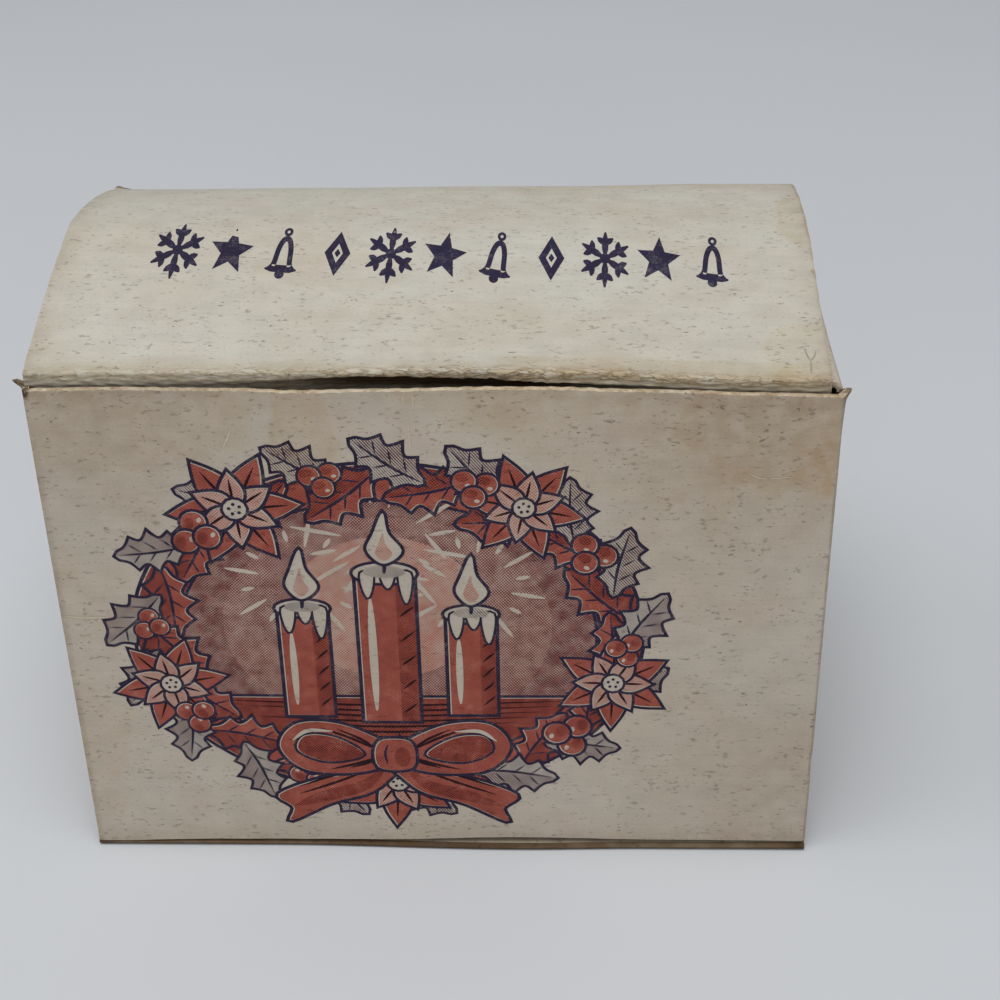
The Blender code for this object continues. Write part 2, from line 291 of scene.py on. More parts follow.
def eased(x, points):
    """Smooth values along x, through a few chosen places and heights in millimetres."""
    places = np.array([point[0] for point in points]) * MM
    heights = np.array([point[1] for point in points]) * MM
    index = np.clip(np.searchsorted(places, x, side="right") - 1, 0, len(places) - 2)
    share = smooth_step((x - places[index]) / (places[index + 1] - places[index]))
    return heights[index] * (1 - share) + heights[index + 1] * share


def ripple(first, second, size, seed):
    """Smooth uneven bumps of about the given size, mostly between -1 and 1."""
    draw = np.random.default_rng(seed)
    waves = 6
    total = 0.0
    for _ in range(waves):
        heading = draw.uniform(0.0, math.pi)
        phase = draw.uniform(0.0, 2 * math.pi)
        pitch = size * draw.uniform(0.6, 1.5)
        run = first * math.cos(heading) + second * math.sin(heading)
        total = total + np.sin(run * 2 * math.pi / pitch + phase)
    return total / math.sqrt(waves * 2)


def stain_at(first, second, spots):
    """Strength of the stains at places on a face: a faint body and a darker tide line round it."""
    total = np.zeros(np.broadcast(first, second).shape)
    wander = 1 + 0.16 * ripple(first, second, 7.0 * MM, 41)
    for x, y, half_width, half_height, strength in spots:
        reach = np.hypot((first / MM - x) / half_width, (second / MM - y) / half_height) * wander
        body = smooth_step((1.1 - reach) / 0.35)
        tide = hill(reach - 0.95, 0.10)
        total = total + strength * (0.45 * body + 0.55 * tide)
    return np.clip(total, 0.0, 1.0)


def soil_at(first, second, spots):
    """Strength of soft soiled places on a face."""
    total = 0.0
    for x, y, half_width, half_height, strength in spots:
        total = total + strength * hill(first / MM - x, half_width) * hill(second / MM - y, half_height)
    return total


def tan_strip(x, y):
    """Strength of the tanned strip along the right part of the lid's front."""
    start, end, edge = TAN_STRIP
    inside_edge = smooth_step((edge + 0.15 * MM * ripple(x, y, 9.0 * MM, 43) - y) / (0.4 * MM))
    return 0.5 * inside_edge * smooth_step((x - start) / (3.0 * MM)) * smooth_step((end - x) / (1.0 * MM))


def paced(start, end, spans):
    """Evenly spaced values from start to end, both included."""
    return np.linspace(start, end, spans + 1)


class Board:
    """A folded board: points on its printed face and, behind them, on its inner face, each with its place on
    the flat sheet, and the quads between them. The sheet's right is where the columns of a grid go and its
    top where the rows go, seen from the printed side."""

    def __init__(self, thickness):
        self.thickness = thickness
        self.index_of = {}
        self.outer = []
        self.inner = []
        self.flat = []
        self.marks = []
        self.quads = []
        self.flush = set()

    def add(self, outer, flat, rub, grime, stain, inner=None, crumple=0.0):
        """Add a grid of points. Points at the place of an earlier one on the flat sheet are joined."""
        if inner is None:
            normal = np.cross(np.gradient(outer, axis=1), np.gradient(outer, axis=0))
            normal /= np.linalg.norm(normal, axis=2, keepdims=True)
            inner = outer - self.thickness * normal
        shape = outer.shape[:2]
        marks = np.stack([np.broadcast_to(mark, shape) for mark in (rub, grime, stain, crumple)], axis=-1)
        indices = np.zeros(shape, int)
        for place in np.ndindex(shape):
            key = tuple(np.round(flat[place] * 1e6).astype(int))
            if key not in self.index_of:
                self.index_of[key] = len(self.outer)
                self.outer.append(outer[place])
                self.inner.append(inner[place])
                self.flat.append(flat[place])
                self.marks.append(marks[place])
            indices[place] = self.index_of[key]
        corners = (indices[:-1, :-1], indices[:-1, 1:], indices[1:, 1:], indices[1:, :-1])
        self.quads.append(np.stack(corners, axis=-1).reshape(-1, 4))
        return indices

    def raw_edges(self, quads):
        """Directed edges that only one quad uses, which are the cut edges, with the board on their left."""
        edges = np.concatenate([quads[:, [side, (side + 1) % 4]] for side in range(4)])
        keys = edges.min(axis=1) * len(self.outer) + edges.max(axis=1)
        _, first, uses = np.unique(keys, return_index=True, return_counts=True)
        return edges[first[uses == 1]]

    def make(self, name, materials):
        """Close the two faces with rounded, slightly furred raw edges, and make the object."""
        outer = np.array(self.outer)
        inner = np.array(self.inner)
        flat = np.array(self.flat)
        marks = np.array(self.marks)
        quads = np.concatenate(self.quads)
        edges = self.raw_edges(quads)
        start, end = edges.T
        count = len(outer)

        def away(vectors, rotate):
            """Unit vectors that point away from the board at each point of its cut edges."""
            total = np.zeros_like(vectors)
            step = rotate(vectors[end] - vectors[start])
            np.add.at(total, start, step)
            np.add.at(total, end, step)
            return total / np.maximum(np.linalg.norm(total, axis=1, keepdims=True), 1e-12)

        normal = (outer - inner) / self.thickness
        outward = away(outer, lambda step: np.cross(step, normal[start]))
        sheet_outward = away(flat, lambda step: np.stack([step[:, 1], -step[:, 0]], axis=1))
        rim = np.unique(edges)
        slot = np.full(count, -1)
        slot[rim] = np.arange(len(rim))
        fur = RAW_BULGE * (1 + RAW_FUR * ripple(flat[rim, 0], flat[rim, 1], RAW_FUR_SIZE, 5))
        fur[[index for index, point in enumerate(rim) if point in self.flush]] = 0.0
        rows = [np.arange(count)]
        points = [outer, inner]
        for share, swell in ((1 / 3, 0.9), (2 / 3, 1.0)):
            place = outer[rim] * (1 - share) + inner[rim] * share + outward[rim] * (fur * swell)[:, None]
            rows.append(len(points[0]) + len(points[1]) + sum(map(len, points[2:])) + slot)
            points.append(place)
        rows.append(count + np.arange(count))

        faces = [quads, count + quads[:, ::-1]]
        sheet = [flat[quads], flat[quads[:, ::-1]]]
        kinds = [np.full(len(quads), FACE), np.full(len(quads), INNER)]
        for step in range(len(rows) - 1):
            here, there = rows[step], rows[step + 1]
            faces.append(np.stack([here[end], here[start], there[start], there[end]], axis=1))
            near = flat + sheet_outward * self.thickness * step / 3
            far = flat + sheet_outward * self.thickness * (step + 1) / 3
            sheet.append(np.stack([near[end], near[start], far[start], far[end]], axis=1))
            kinds.append(np.full(len(edges), RAW))
        marks = np.concatenate([marks, marks * INNER_MARK_SHARES, marks[rim], marks[rim]])
        return solid_mesh(name, np.concatenate(points), np.concatenate(faces), np.concatenate(sheet),
                          np.concatenate(kinds), marks, materials)


FACE, INNER, RAW = range(3)
RAW_BULGE = 0.05 * MM
RAW_FUR = 0.45
RAW_FUR_SIZE = 0.7 * MM
MARKS = ("rub", "grime", "stain", "crumple")
INNER_MARK_SHARES = (0.6, 0.25, 0.3, 0.0)
SHARP_ANGLE = math.radians(38.0)


def solid_mesh(name, points, faces, sheet, kinds, marks, materials):
    """An object from points, faces, places on the sheet, material numbers, and marks of wear, soil and
    painted shade.
    """
    mesh = bpy.data.meshes.new(name)
    mesh.from_pydata(points.tolist(), [], faces.tolist())
    layer = mesh.uv_layers.new(name=SHEET_MAP)
    layer.data.foreach_set("uv", sheet.reshape(-1).astype(np.float32))
    mesh.polygons.foreach_set("material_index", kinds.astype(np.int32))
    for column, mark in enumerate(MARKS):
        values = mesh.attributes.new(mark, "FLOAT", "POINT")
        values.data.foreach_set("value", marks[:, column].astype(np.float32))
    for material in materials:
        mesh.materials.append(material)
    mesh.shade_smooth()
    mesh.set_sharp_from_angle(angle=SHARP_ANGLE)
    mesh.validate()
    return new_object(name, mesh)


def front_top(x):
    """Height of the front panel's upper raw edge, a little nibbled."""
    return TOP_CREASE + eased(x, RAW_TOP) + RAW_NIBBLE * ripple(x, 0 * x, 1.9 * MM, 51)


def front_bottom(x):
    """Height of the front panel's lower raw edge."""
    return eased(x, RAW_BOTTOM) + 0.3 * RAW_NIBBLE * ripple(x, 0 * x, 4.0 * MM, 52)


def panel_swell(share, height, amount, seed):
    """How far a panel stands out from its plane, nothing at its upright folds."""
    level = np.clip(height / TOP_CREASE, 0.0, 1.0)
    swell = amount * np.sin(math.pi * level)
    uneven = 0.10 * MM * ripple(share * WIDTH, height, 26.0 * MM, seed)
    return np.sin(math.pi * np.clip(share, 0.0, 1.0)) * (swell + uneven)


FRONT_SWELL = 0.22 * MM
SIDE_SWELL = 0.35 * MM
BACK_SWELL = 0.30 * MM


def front_place(x, z, board):
    """Points on the printed face of the front panel."""
    reach = WIDTH / 2 - board.corner_radius
    out = panel_swell((x + reach) / (2 * reach), z, FRONT_SWELL, 3)
    return np.stack([x, FRONT - out, z], axis=-1)


def sleeve_columns(board):
    """Columns round the sleeve from the glue flap's free edge to the back panel's cut end: how far along the
    sheet, the place in plan of the printed and the inner face, the heading, the share along the panel, and
    the panel's name."""
    radius = board.corner_radius
    glue_face = BACK - board.thickness - GLUE_GAP
    legs = (
        ("glue", GLUE_FLAP - radius, 10, True),
        ("left back notch", glue_face - radius - (BACK - DUST_NOTCH_BACK), 1, False),
        ("left", DEPTH - DUST_NOTCH_FRONT - DUST_NOTCH_BACK, 44, False),
        ("left notch", DUST_NOTCH_FRONT - radius, 12, True),
        ("front", WIDTH - 2 * radius, 150, True),
        ("right notch", DUST_NOTCH_FRONT - radius, 12, False),
        ("right", DEPTH - DUST_NOTCH_FRONT - DUST_NOTCH_BACK, 44, False),
        ("right back notch", DUST_NOTCH_BACK - radius, 2, True),
        ("back", WIDTH - radius - BACK_END_INSET, 60, False),
    )
    place = np.array([-WIDTH / 2 + GLUE_FLAP, glue_face])
    heading = math.pi
    along = 0.0

    def facing():
        return np.array([math.sin(heading), -math.cos(heading)])

    columns = [(along, place.copy(), place - board.thickness * facing(), heading, 0.0, "glue")]
    short = board.thickness - radius + INNER_CREASE_RADIUS
    folded = False
    for name, length, spans, turns in legs:
        ahead = np.array([math.cos(heading), math.sin(heading)])
        for step in range(1, spans + 1):
            place = place + length / spans * ahead
            along += length / spans
            run = length * step / spans
            shift = folded * short * max(0.0, 1 - run / INNER_EASE)
            shift -= turns * short * max(0.0, 1 - (length - run) / INNER_EASE)
            inner = place - board.thickness * facing() + shift * ahead
            columns.append((along, place.copy(), inner, heading, step / spans, name))
        folded = turns
        if not turns:
            continue
        centre = place - radius * facing()
        crease = centre + (radius - board.thickness) * (facing() + ahead)
        for _ in range(CORNER_SPANS):
            heading += math.pi / 2 / CORNER_SPANS
            place = centre + radius * facing()
            along += radius * math.pi / 2 / CORNER_SPANS
            inner = crease + INNER_CREASE_RADIUS * facing()
            columns.append((along, place.copy(), inner, heading, 0.0, name + " corner"))
    return columns


INNER_CREASE_RADIUS = 0.02 * MM
INNER_EASE = 1.2 * MM


def column_ends(name, share, x, y):
    """Heights of the lower and upper ends of a column of the sleeve."""
    if name in ("front", "front corner", "left notch corner"):
        return front_bottom(x), front_top(x)
    if name in ("left notch", "right notch"):
        back = (EAR_RIGHT if x > 0 else EAR_LEFT)["back"]
        from_front = smooth_step((y - FRONT - back) / (DUST_NOTCH_FRONT - back))
        low = front_bottom(x) * (1 - from_front) + WALL_LOW * from_front
        high = front_top(x) * (1 - from_front) + WALL_HIGH * from_front
        return low, high + EAR_RISE * hill(y - FRONT - back, EAR_REACH)
    if name.startswith("glue") and not name.endswith("corner"):
        inset = GLUE_END_INSET + GLUE_TAPER * (1 - share) + STRIP
        return inset, TOP_CREASE - inset
    if name == "back" or name == "right back notch corner":
        return STRIP, TOP_CREASE - STRIP
    return WALL_LOW, WALL_HIGH


def sleeve_shares():
    """Shares of a column's height at which it has points, closer together at its ends."""
    end = np.array([0.0, 0.004, 0.009, 0.016, 0.026])
    return np.concatenate([end, paced(0.04, 0.96, 66), 1 - end[::-1]])


def side_flare(x, y, from_top):
    """How far a side panel's top stands out: a pinched ear at each front corner, a flare on the right."""
    ear = EAR_RIGHT if x > 0 else EAR_LEFT
    out = ear["out"] * hill(y - FRONT - ear["back"], EAR_REACH) * hill(from_top, EAR_DROP)
    if x > 0:
        grown_in = smooth_step((y - FRONT) / FLARE_GROWTH)
        out = out + FLARE_RIGHT * grown_in * hill(y - FRONT, FLARE_REACH) * hill(from_top, FLARE_DROP)
    return out


def sleeve_walls(sheet, board):
    """The five upright panels in one grid. Returns the columns and their points."""
    columns = sleeve_columns(board)
    shares = sleeve_shares()
    outer = np.zeros((len(shares), len(columns), 3))
    inner = np.zeros_like(outer)
    flat = np.zeros((len(shares), len(columns), 2))
    rub = np.zeros(outer.shape[:2])
    grime = np.zeros(outer.shape[:2])
    stain = np.zeros(outer.shape[:2])
    swells = {"front": (FRONT_SWELL, 3), "left": (SIDE_SWELL, 7), "right": (SIDE_SWELL, 8),
              "back": (BACK_SWELL, 9)}
    for column, (along, place, behind, heading, share, name) in enumerate(columns):
        x, y = place
        low, high = column_ends(name, share, x, y)
        height = low + (high - low) * shares
        out = np.zeros(len(height))
        if name in swells:
            out = panel_swell(share, height, *swells[name])
        if name == "front corner":
            out = out - NICK_DEPTH * hill(height - NICK_HEIGHT, NICK_REACH)
        facing = (math.sin(heading), -math.cos(heading))
        aside = 0.0
        if name in ("left", "right", "left notch", "right notch"):
            aside = math.copysign(1.0, x) * side_flare(x, y, high - height)
        for grid, spot in ((outer, place), (inner, behind)):
            grid[:, column, 0] = spot[0] + out * facing[0] + aside
            grid[:, column, 1] = spot[1] + out * facing[1]
            grid[:, column, 2] = height
        flat[:, column, 0] = along
        flat[:, column, 1] = height
        from_end = np.minimum(height - low, high - height)
        near_fold = 1.0 if name.endswith("corner") else 0.0
        rub[:, column] = np.maximum(near_fold * 0.45, 0.6 * hill(from_end, 0.3 * MM))
        if name == "front":
            stain[:, column] = stain_at(x, height, FRONT_STAINS)
        grime[:, column] = 0.3 * hill(from_end, 1.5 * MM) + 0.6 * near_fold
        if name == "front":
            grime[:, column] += soil_at(x, height, FRONT_SOIL)
        # Painted shade: a deep brown at the top of the side panels' front notches, under the corners of the
        # lid.
        if "notch" in name and "back" not in name:
            deep = 1.9 if x < 0 else 1.3
            grime[:, column] = np.maximum(grime[:, column], deep * hill(high - height, 1.0 * MM))
    indices = sheet.add(outer, flat, rub, grime, stain, inner)
    back = [number for number, column in enumerate(columns) if column[5] == "back"]
    sheet.flush.update(indices[0, back])
    sheet.flush.update(indices[-1, back])
    return columns, outer


def dust_flap(sheet, board, columns, walls, side, upward):
    """A dust flap turned in from a side panel, at its top (upward 1) or at its bottom (upward -1)."""
    name = "right" if side > 0 else "left"
    panel = [number for number, column in enumerate(columns) if column[5] == name]
    chosen = slice(panel[0] - 1, panel[-1] + 1)
    along = np.array([column[0] for column in columns[chosen]])
    edge = walls[-1 if upward > 0 else 0, chosen]
    depth = edge[:, 1]
    flare = edge[:, 0] - side * WIDTH / 2
    level = WALL_HIGH if upward > 0 else WALL_LOW
    rise = DUST_RISE if upward > 0 else 0.0
    radius = SIDE_CREASE_RADIUS
    rows = []
    for angle in paced(0.0, math.pi / 2 - rise, 8):
        rows.append((radius * (1 - math.cos(angle)), radius * math.sin(angle), radius * angle, 0.0))
    inward, climb, run, _ = rows[-1]
    length = board.dust_flap
    straight = paced(0.0, length - DUST_TIP_RADIUS, 16)[1:]
    round_part = length - DUST_TIP_RADIUS + DUST_TIP_RADIUS * np.sin(np.radians(paced(0.0, 84.0, 10)[1:]))
    for distance in [*straight, *round_part, length]:
        past = max(0.0, distance - (length - DUST_TIP_RADIUS))
        inset = DUST_TIP_RADIUS - math.sqrt(max(0.0, DUST_TIP_RADIUS ** 2 - past ** 2))
        inset += DUST_TAPER * distance / length
        rows.append((inward + distance * math.cos(rise), climb + distance * math.sin(rise), run + distance,
                     inset))
    reach, climb, run, inset = (np.array(part)[:, None] for part in zip(*rows))
    share = np.linspace(0.0, 1.0, len(along))
    backward = math.copysign(1.0, depth[-1] - depth[0])
    across = (along[0] + inset) * (1 - share) + (along[-1] - inset) * share
    deep = (depth[0] + backward * inset) * (1 - share) + (depth[-1] - backward * inset) * share
    leap = FLAP_LEAP * np.abs(ripple(deep, reach, 30 * MM, 11 + side)) * (run / length) ** 2 * (upward > 0)
    settled = flare * np.exp(-run / (3 * MM))
    outer = np.stack([side * (WIDTH / 2 - reach) + settled, deep, level + upward * climb + leap], axis=-1)
    flat = np.stack([across, level + upward * run + 0 * across], axis=-1)
    rub = 0.8 * hill(run - radius, 1.0 * MM) + 0 * share
    if upward < 0:
        outer, flat, rub = outer[::-1], flat[::-1], rub[::-1]
    sheet.add(outer, flat, rub, 0.2, 0.0)


def build_sleeve(board, materials):
    """The sleeve with its glue flap and four dust flaps, one folded board."""
    sheet = Board(board.thickness)
    columns, walls = sleeve_walls(sheet, board)
    for side in (1, -1):
        for upward in (1, -1):
            dust_flap(sheet, board, columns, walls, side, upward)
    return sheet.make("sleeve_board", materials)


def bow(y, shape):
    """Height of one end of the top lid above its crease."""
    from_front = y - FRONT
    from_back = BACK - y
    front = shape["rise"] + shape["climb"] * from_front - shape["ease"] * from_front ** 2
    back = shape["crown"] * (1 - np.exp(-from_back / shape["back"]))
    return smooth_min(front, back, shape["ridge"])


def top_height(x, y):
    """Height of the top lid's printed face above its crease."""
    share = (x - LID_CENTRE + LID_HALF_WIDTH) / (2 * LID_HALF_WIDTH)

    def between(depth):
        return bow(depth, LEFT_BOW) * (1 - share) + bow(depth, RIGHT_BOW) * share

    from_front = y - LID_FRONT
    crest = eased(x, FOLD_CREST) - between(LID_FRONT)
    crest = crest * np.exp(-np.maximum(from_front, 0.0) / CREST_BACKWARD)
    settled = smooth_step((BACK - y) / (4 * MM)) * (0.3 + 0.7 * smooth_step(from_front / (4 * MM)))
    uneven = 0.10 * MM * ripple(x, y, 17 * MM, 21) * settled
    crumple = hill(x - CRUMPLE_PLACE, CRUMPLE_HALF_WIDTH) + 0.3
    wrinkle = CRUMPLE_DEPTH * crumple * ripple(x, y * 1.6, CRUMPLE_SIZE, 22) * hill(from_front, 1.2 * MM)
    torn = 0.45 * MM * hill(x + 37.6 * MM, 1.0 * MM) * hill(y - BACK + 1.0 * MM, 1.0 * MM)
    return between(y) + crest + uneven + wrinkle + torn


def base_height(x, y):
    """Height of the bottom lid's outer face, lifted off the table at the ends of its front fold."""
    from_front = np.maximum(y - LID_FRONT, 0.0)
    return BASE_LIFT * (x / LID_HALF_WIDTH) ** 2 * np.exp(-from_front / (5 * MM)) + 0 * from_front


def lid_grid(board, height_at, lean, fold, spans, skew):
    """Points of a lid from the strip on the back panel, over the crease, along the panel, round the front
    fold and down the tuck flap: across, depth, height over the crease and the distance along the sheet, and
    the row at which the fold begins. The fold gives its radius, the depth of its front, the length of the
    band under it, how far the flap falls back behind the band and the length in which it does."""
    share = np.linspace(0.0, 1.0, spans + 1)
    x = LID_CENTRE + LID_HALF_WIDTH * (1 - 2 * share)
    radius, front, band, recess, fall = fold(x)
    step = 0.05 * MM
    climb = np.arctan((height_at(x, BACK - step) - height_at(x, BACK)) / step)
    turn = math.pi / 2 - climb
    reach = BACK_CREASE_RADIUS * np.tan(turn / 2)
    rows = []
    for part in paced(0.0, 1.0, 5)[:-1]:
        rows.append((BACK + 0 * x, -STRIP + (STRIP - reach) * part, LID_HALF_WIDTH))
    for part in paced(0.0, 1.0, 7):
        angle = turn * part
        rows.append((BACK - BACK_CREASE_RADIUS * (1 - np.cos(angle)),
                     -reach + BACK_CREASE_RADIUS * np.sin(angle), LID_HALF_WIDTH))
    begin = rows[-1][0]
    centre = front + radius
    droop = np.arctan((height_at(x, centre + step) - height_at(x, centre - step)) / (2 * step))
    droop = np.clip(droop, -0.1, 0.5)
    fold_start = centre - radius * np.sin(droop)
    fine = 3.0 * MM
    for part in paced(0.0, 1.0, 60)[1:]:
        y = begin + (fold_start + fine - begin) * part
        rows.append((y, height_at(x, y), LID_HALF_WIDTH))
    for part in paced(0.0, 1.0, 18)[1:]:
        y = fold_start + fine * (1 - part)
        rows.append((y, height_at(x, y), LID_HALF_WIDTH))
    fold_row = len(rows) - 1
    centre_height = rows[-1][1] - radius * np.cos(droop)
    for part in paced(0.0, 1.0, FOLD_SPANS)[1:]:
        angle = droop + (math.pi / 2 - droop) * part
        rows.append((centre - radius * np.sin(angle), centre_height + radius * np.cos(angle), LID_HALF_WIDTH))
    length = board.tuck_flap
    near = paced(0.0, 3.0 * MM, 24)[1:]
    straight = paced(3.0 * MM, length - TUCK_TIP_RADIUS, 4)[1:]
    round_part = length - TUCK_TIP_RADIUS + TUCK_TIP_RADIUS * np.sin(np.radians(paced(0.0, 84.0, 10)[1:]))
    for distance in [*near, *straight, *round_part, length]:
        past = max(0.0, distance - (length - TUCK_TIP_RADIUS))
        inset = TUCK_TIP_RADIUS - math.sqrt(max(0.0, TUCK_TIP_RADIUS ** 2 - past ** 2))
        below = np.maximum(distance - band, 0.0)
        narrowed = smooth_step((below - 0.1 * MM) / (0.5 * MM))
        half = LID_HALF_WIDTH + (TUCK_HALF_WIDTH - LID_HALF_WIDTH) * narrowed - inset
        behind = recess * smooth_step(below / fall) * (1 - smooth_step((below - 3 * MM) / (6 * MM)))
        crease = 0.07 * MM * ripple(x, distance * 3.0 + 0 * x, 1.5 * MM, 24)
        crease = crease * smooth_step(distance / (0.2 * MM))
        rows.append((front + crease + below * math.sin(lean) + behind,
                     centre_height - distance + below * (1 - math.cos(lean)), half))
    depth = np.array([row[0] + 0 * x for row in rows])
    level = np.array([row[1] + 0 * x for row in rows])
    half = np.array([row[2] + 0 * x for row in rows])
    middle = spans // 2
    strides = np.hypot(np.diff(depth[:, middle]), np.diff(level[:, middle]))
    run = np.concatenate([[0.0], np.cumsum(strides)])[:, None]
    ragged = 0.04 * MM * ripple(run, run, 5 * MM, 31) * (2 * share - 1)
    drift = skew * smooth_step((BACK - depth) / DEPTH)
    across = LID_CENTRE + drift + half * (1 - 2 * share) - ragged
    return across, depth, level, run, fold_row


def inside_fold(outer, thickness, fold_row):
    """Inner face of a lid, with a sharp crease inside its front fold."""
    normal = np.cross(np.gradient(outer, axis=1), np.gradient(outer, axis=0))
    normal /= np.linalg.norm(normal, axis=2, keepdims=True)
    inner = outer - thickness * normal
    first = fold_row - 6
    middle = fold_row + FOLD_SPANS // 2
    last = fold_row + FOLD_SPANS + 6
    corner = inner[first].copy()
    corner[:, 1] = outer[fold_row + FOLD_SPANS, :, 1] + thickness
    slope = (inner[first, :, 2] - inner[first - 3, :, 2]) / (inner[first, :, 1] - inner[first - 3, :, 1])
    corner[:, 2] += slope * (corner[:, 1] - inner[first, :, 1])
    for start, end, begin, finish in ((first, middle, inner[first], corner),
                                      (middle, last, corner, inner[last])):
        begin, finish = begin.copy(), finish.copy()
        for row in range(start, end + 1):
            share = (row - start) / (end - start)
            inner[row] = begin * (1 - share) + finish * share
    return inner


def back_along(board, x):
    """Place on the flat sheet, left to right, of points of the back panel and the lids."""
    last = sleeve_columns(board)[-1]
    return last[0] - (x - last[1][0])


def lid_marks(across, depth, run, fold_run, spots):
    """Rub, soil with painted shade, and stain of a lid, from its places and how far each row is from the
    strip's end.
    """
    side = LID_HALF_WIDTH - np.abs(across - LID_CENTRE)
    past = run - fold_run
    rub = np.maximum(0.7 * hill(run - STRIP, 0.5 * MM) + 0 * side, 0.5 * hill(side, 0.25 * MM))
    rub = np.maximum(rub, 0.34 * hill(past - 0.2 * MM, 0.25 * MM) + 0.1 * hill(past - 0.6 * MM, 0.5 * MM))
    # Darker band down the front fold and the top of the tuck flap: soil of the fold, and painted shade that
    # is heaviest in the middle, over the slot.
    middle = hill(across - SLOT_PLACE, SLOT_HALF_WIDTH)
    band = smooth_step((past - 0.1 * MM) / (0.5 * MM)) * (0.24 + 0.4 * middle)
    band = band * (1 - 0.7 * smooth_step((past - 2.5 * MM) / (2.5 * MM)))
    # Painted shade: a dark line along the lid's side edges, strongest on the right, for the gap beside the
    # dust flap's fold.
    edge = (0.45 + 0.35 * np.sign(across)) * hill(side, 0.25 * MM)
    grime = 0.2 * hill(past, 1.5 * MM) * (past < 0) + 0.3 * hill(side, 1.5 * MM) + edge + band
    return rub, grime, stain_at(across, depth, spots)


def build_top_lid(board, materials):
    """The bowed top lid with its crease strip and tuck flap."""
    def fold(x):
        band = eased(x, FOLD_CREST) - eased(x, BAND_FOOT) - BAND_FOLD_RADIUS
        slot = SLOT_DEPTH * hill(x - SLOT_PLACE, SLOT_HALF_WIDTH)
        return BAND_FOLD_RADIUS, LID_FRONT, band, slot, SLOT_FALL

    across, depth, level, run, fold_row = lid_grid(board, top_height, TOP_TUCK_LEAN, fold, 200, LID_SKEW)
    sheet = Board(board.thickness)
    outer = np.stack([across, depth, TOP_CREASE + level], axis=-1)
    flat = np.stack([back_along(board, across), TOP_CREASE - STRIP + run + 0 * across], axis=-1)
    rub, grime, stain = lid_marks(across, depth, run, run[fold_row], LID_STAINS)
    # Painted shade: the tuck flap is darkened below the band's foot, where it lies behind the slot, most in
    # the slot's middle.
    below_band = eased(across, BAND_FOOT) - level
    slot_shade = smooth_step((below_band + 0.35 * MM) / (0.9 * MM))
    slot_shade = slot_shade * smooth_step((run - run[fold_row]) / (0.6 * MM))
    slot_shade = slot_shade * (1 - smooth_step((below_band - 1.4 * MM) / (2.2 * MM)))
    grime = grime + slot_shade * (0.35 + 1.15 * hill(across - SLOT_PLACE, SLOT_SHADE_HALF_WIDTH))
    past = run - run[fold_row] - 0.5 * MM
    stain = np.clip(stain + tan_strip(across, depth) + 0.18 * hill(past, 1.0 * MM), 0.0, 1.0)
    crumple = hill(past, 0.9 * MM) * (0.45 + 0.55 * hill(across - CRUMPLE_PLACE, 3 * CRUMPLE_HALF_WIDTH))
    inner = inside_fold(outer, board.thickness, fold_row)
    indices = sheet.add(outer, flat, rub, grime, stain, inner, crumple)
    sheet.flush.update(indices[0])
    return sheet.make("top_lid_board", materials)


def build_bottom_lid(board, materials):
    """The bottom lid that the carton stands on, with its crease strip and tuck flap."""
    def fold(x):
        forward = eased(x, BASE_FORWARD)
        return BASE_FOLD_RADIUS, LID_FRONT - forward, 0 * x, forward + 0.05 * MM, BASE_FALL

    def hanging(x, y):
        return -base_height(x, y)

    across, depth, level, run, fold_row = lid_grid(board, hanging, BOTTOM_TUCK_LEAN, fold, 120, 0.0)
    across = (across - LID_CENTRE) * BASE_WIDENING
    sheet = Board(board.thickness)
    raised = np.stack([across, depth, level], axis=-1)
    inner = inside_fold(raised, board.thickness, fold_row)[::-1] * (1, 1, -1) + (0, 0, BOTTOM_CREASE)
    outer = raised[::-1] * (1, 1, -1) + (0, 0, BOTTOM_CREASE)
    flat = np.stack([back_along(board, across), BOTTOM_CREASE + STRIP - run + 0 * across], axis=-1)[::-1]
    rub, grime, stain = lid_marks(across, depth, run, run[fold_row], ())
    past = run - run[fold_row]
    # Darker along the front fold, from just before it to the top of the tuck flap.
    strip = smooth_step((past + 1.5 * MM) / (1.5 * MM))
    strip = strip * (1 - 0.75 * smooth_step((past - 1.8 * MM) / (2.2 * MM)))
    grime = 0.4 * grime + 1.15 * strip
    indices = sheet.add(outer, flat, 0.3 * rub[::-1], grime[::-1], stain[::-1], inner)
    sheet.flush.update(indices[-1])
    return sheet.make("bottom_lid_board", materials)


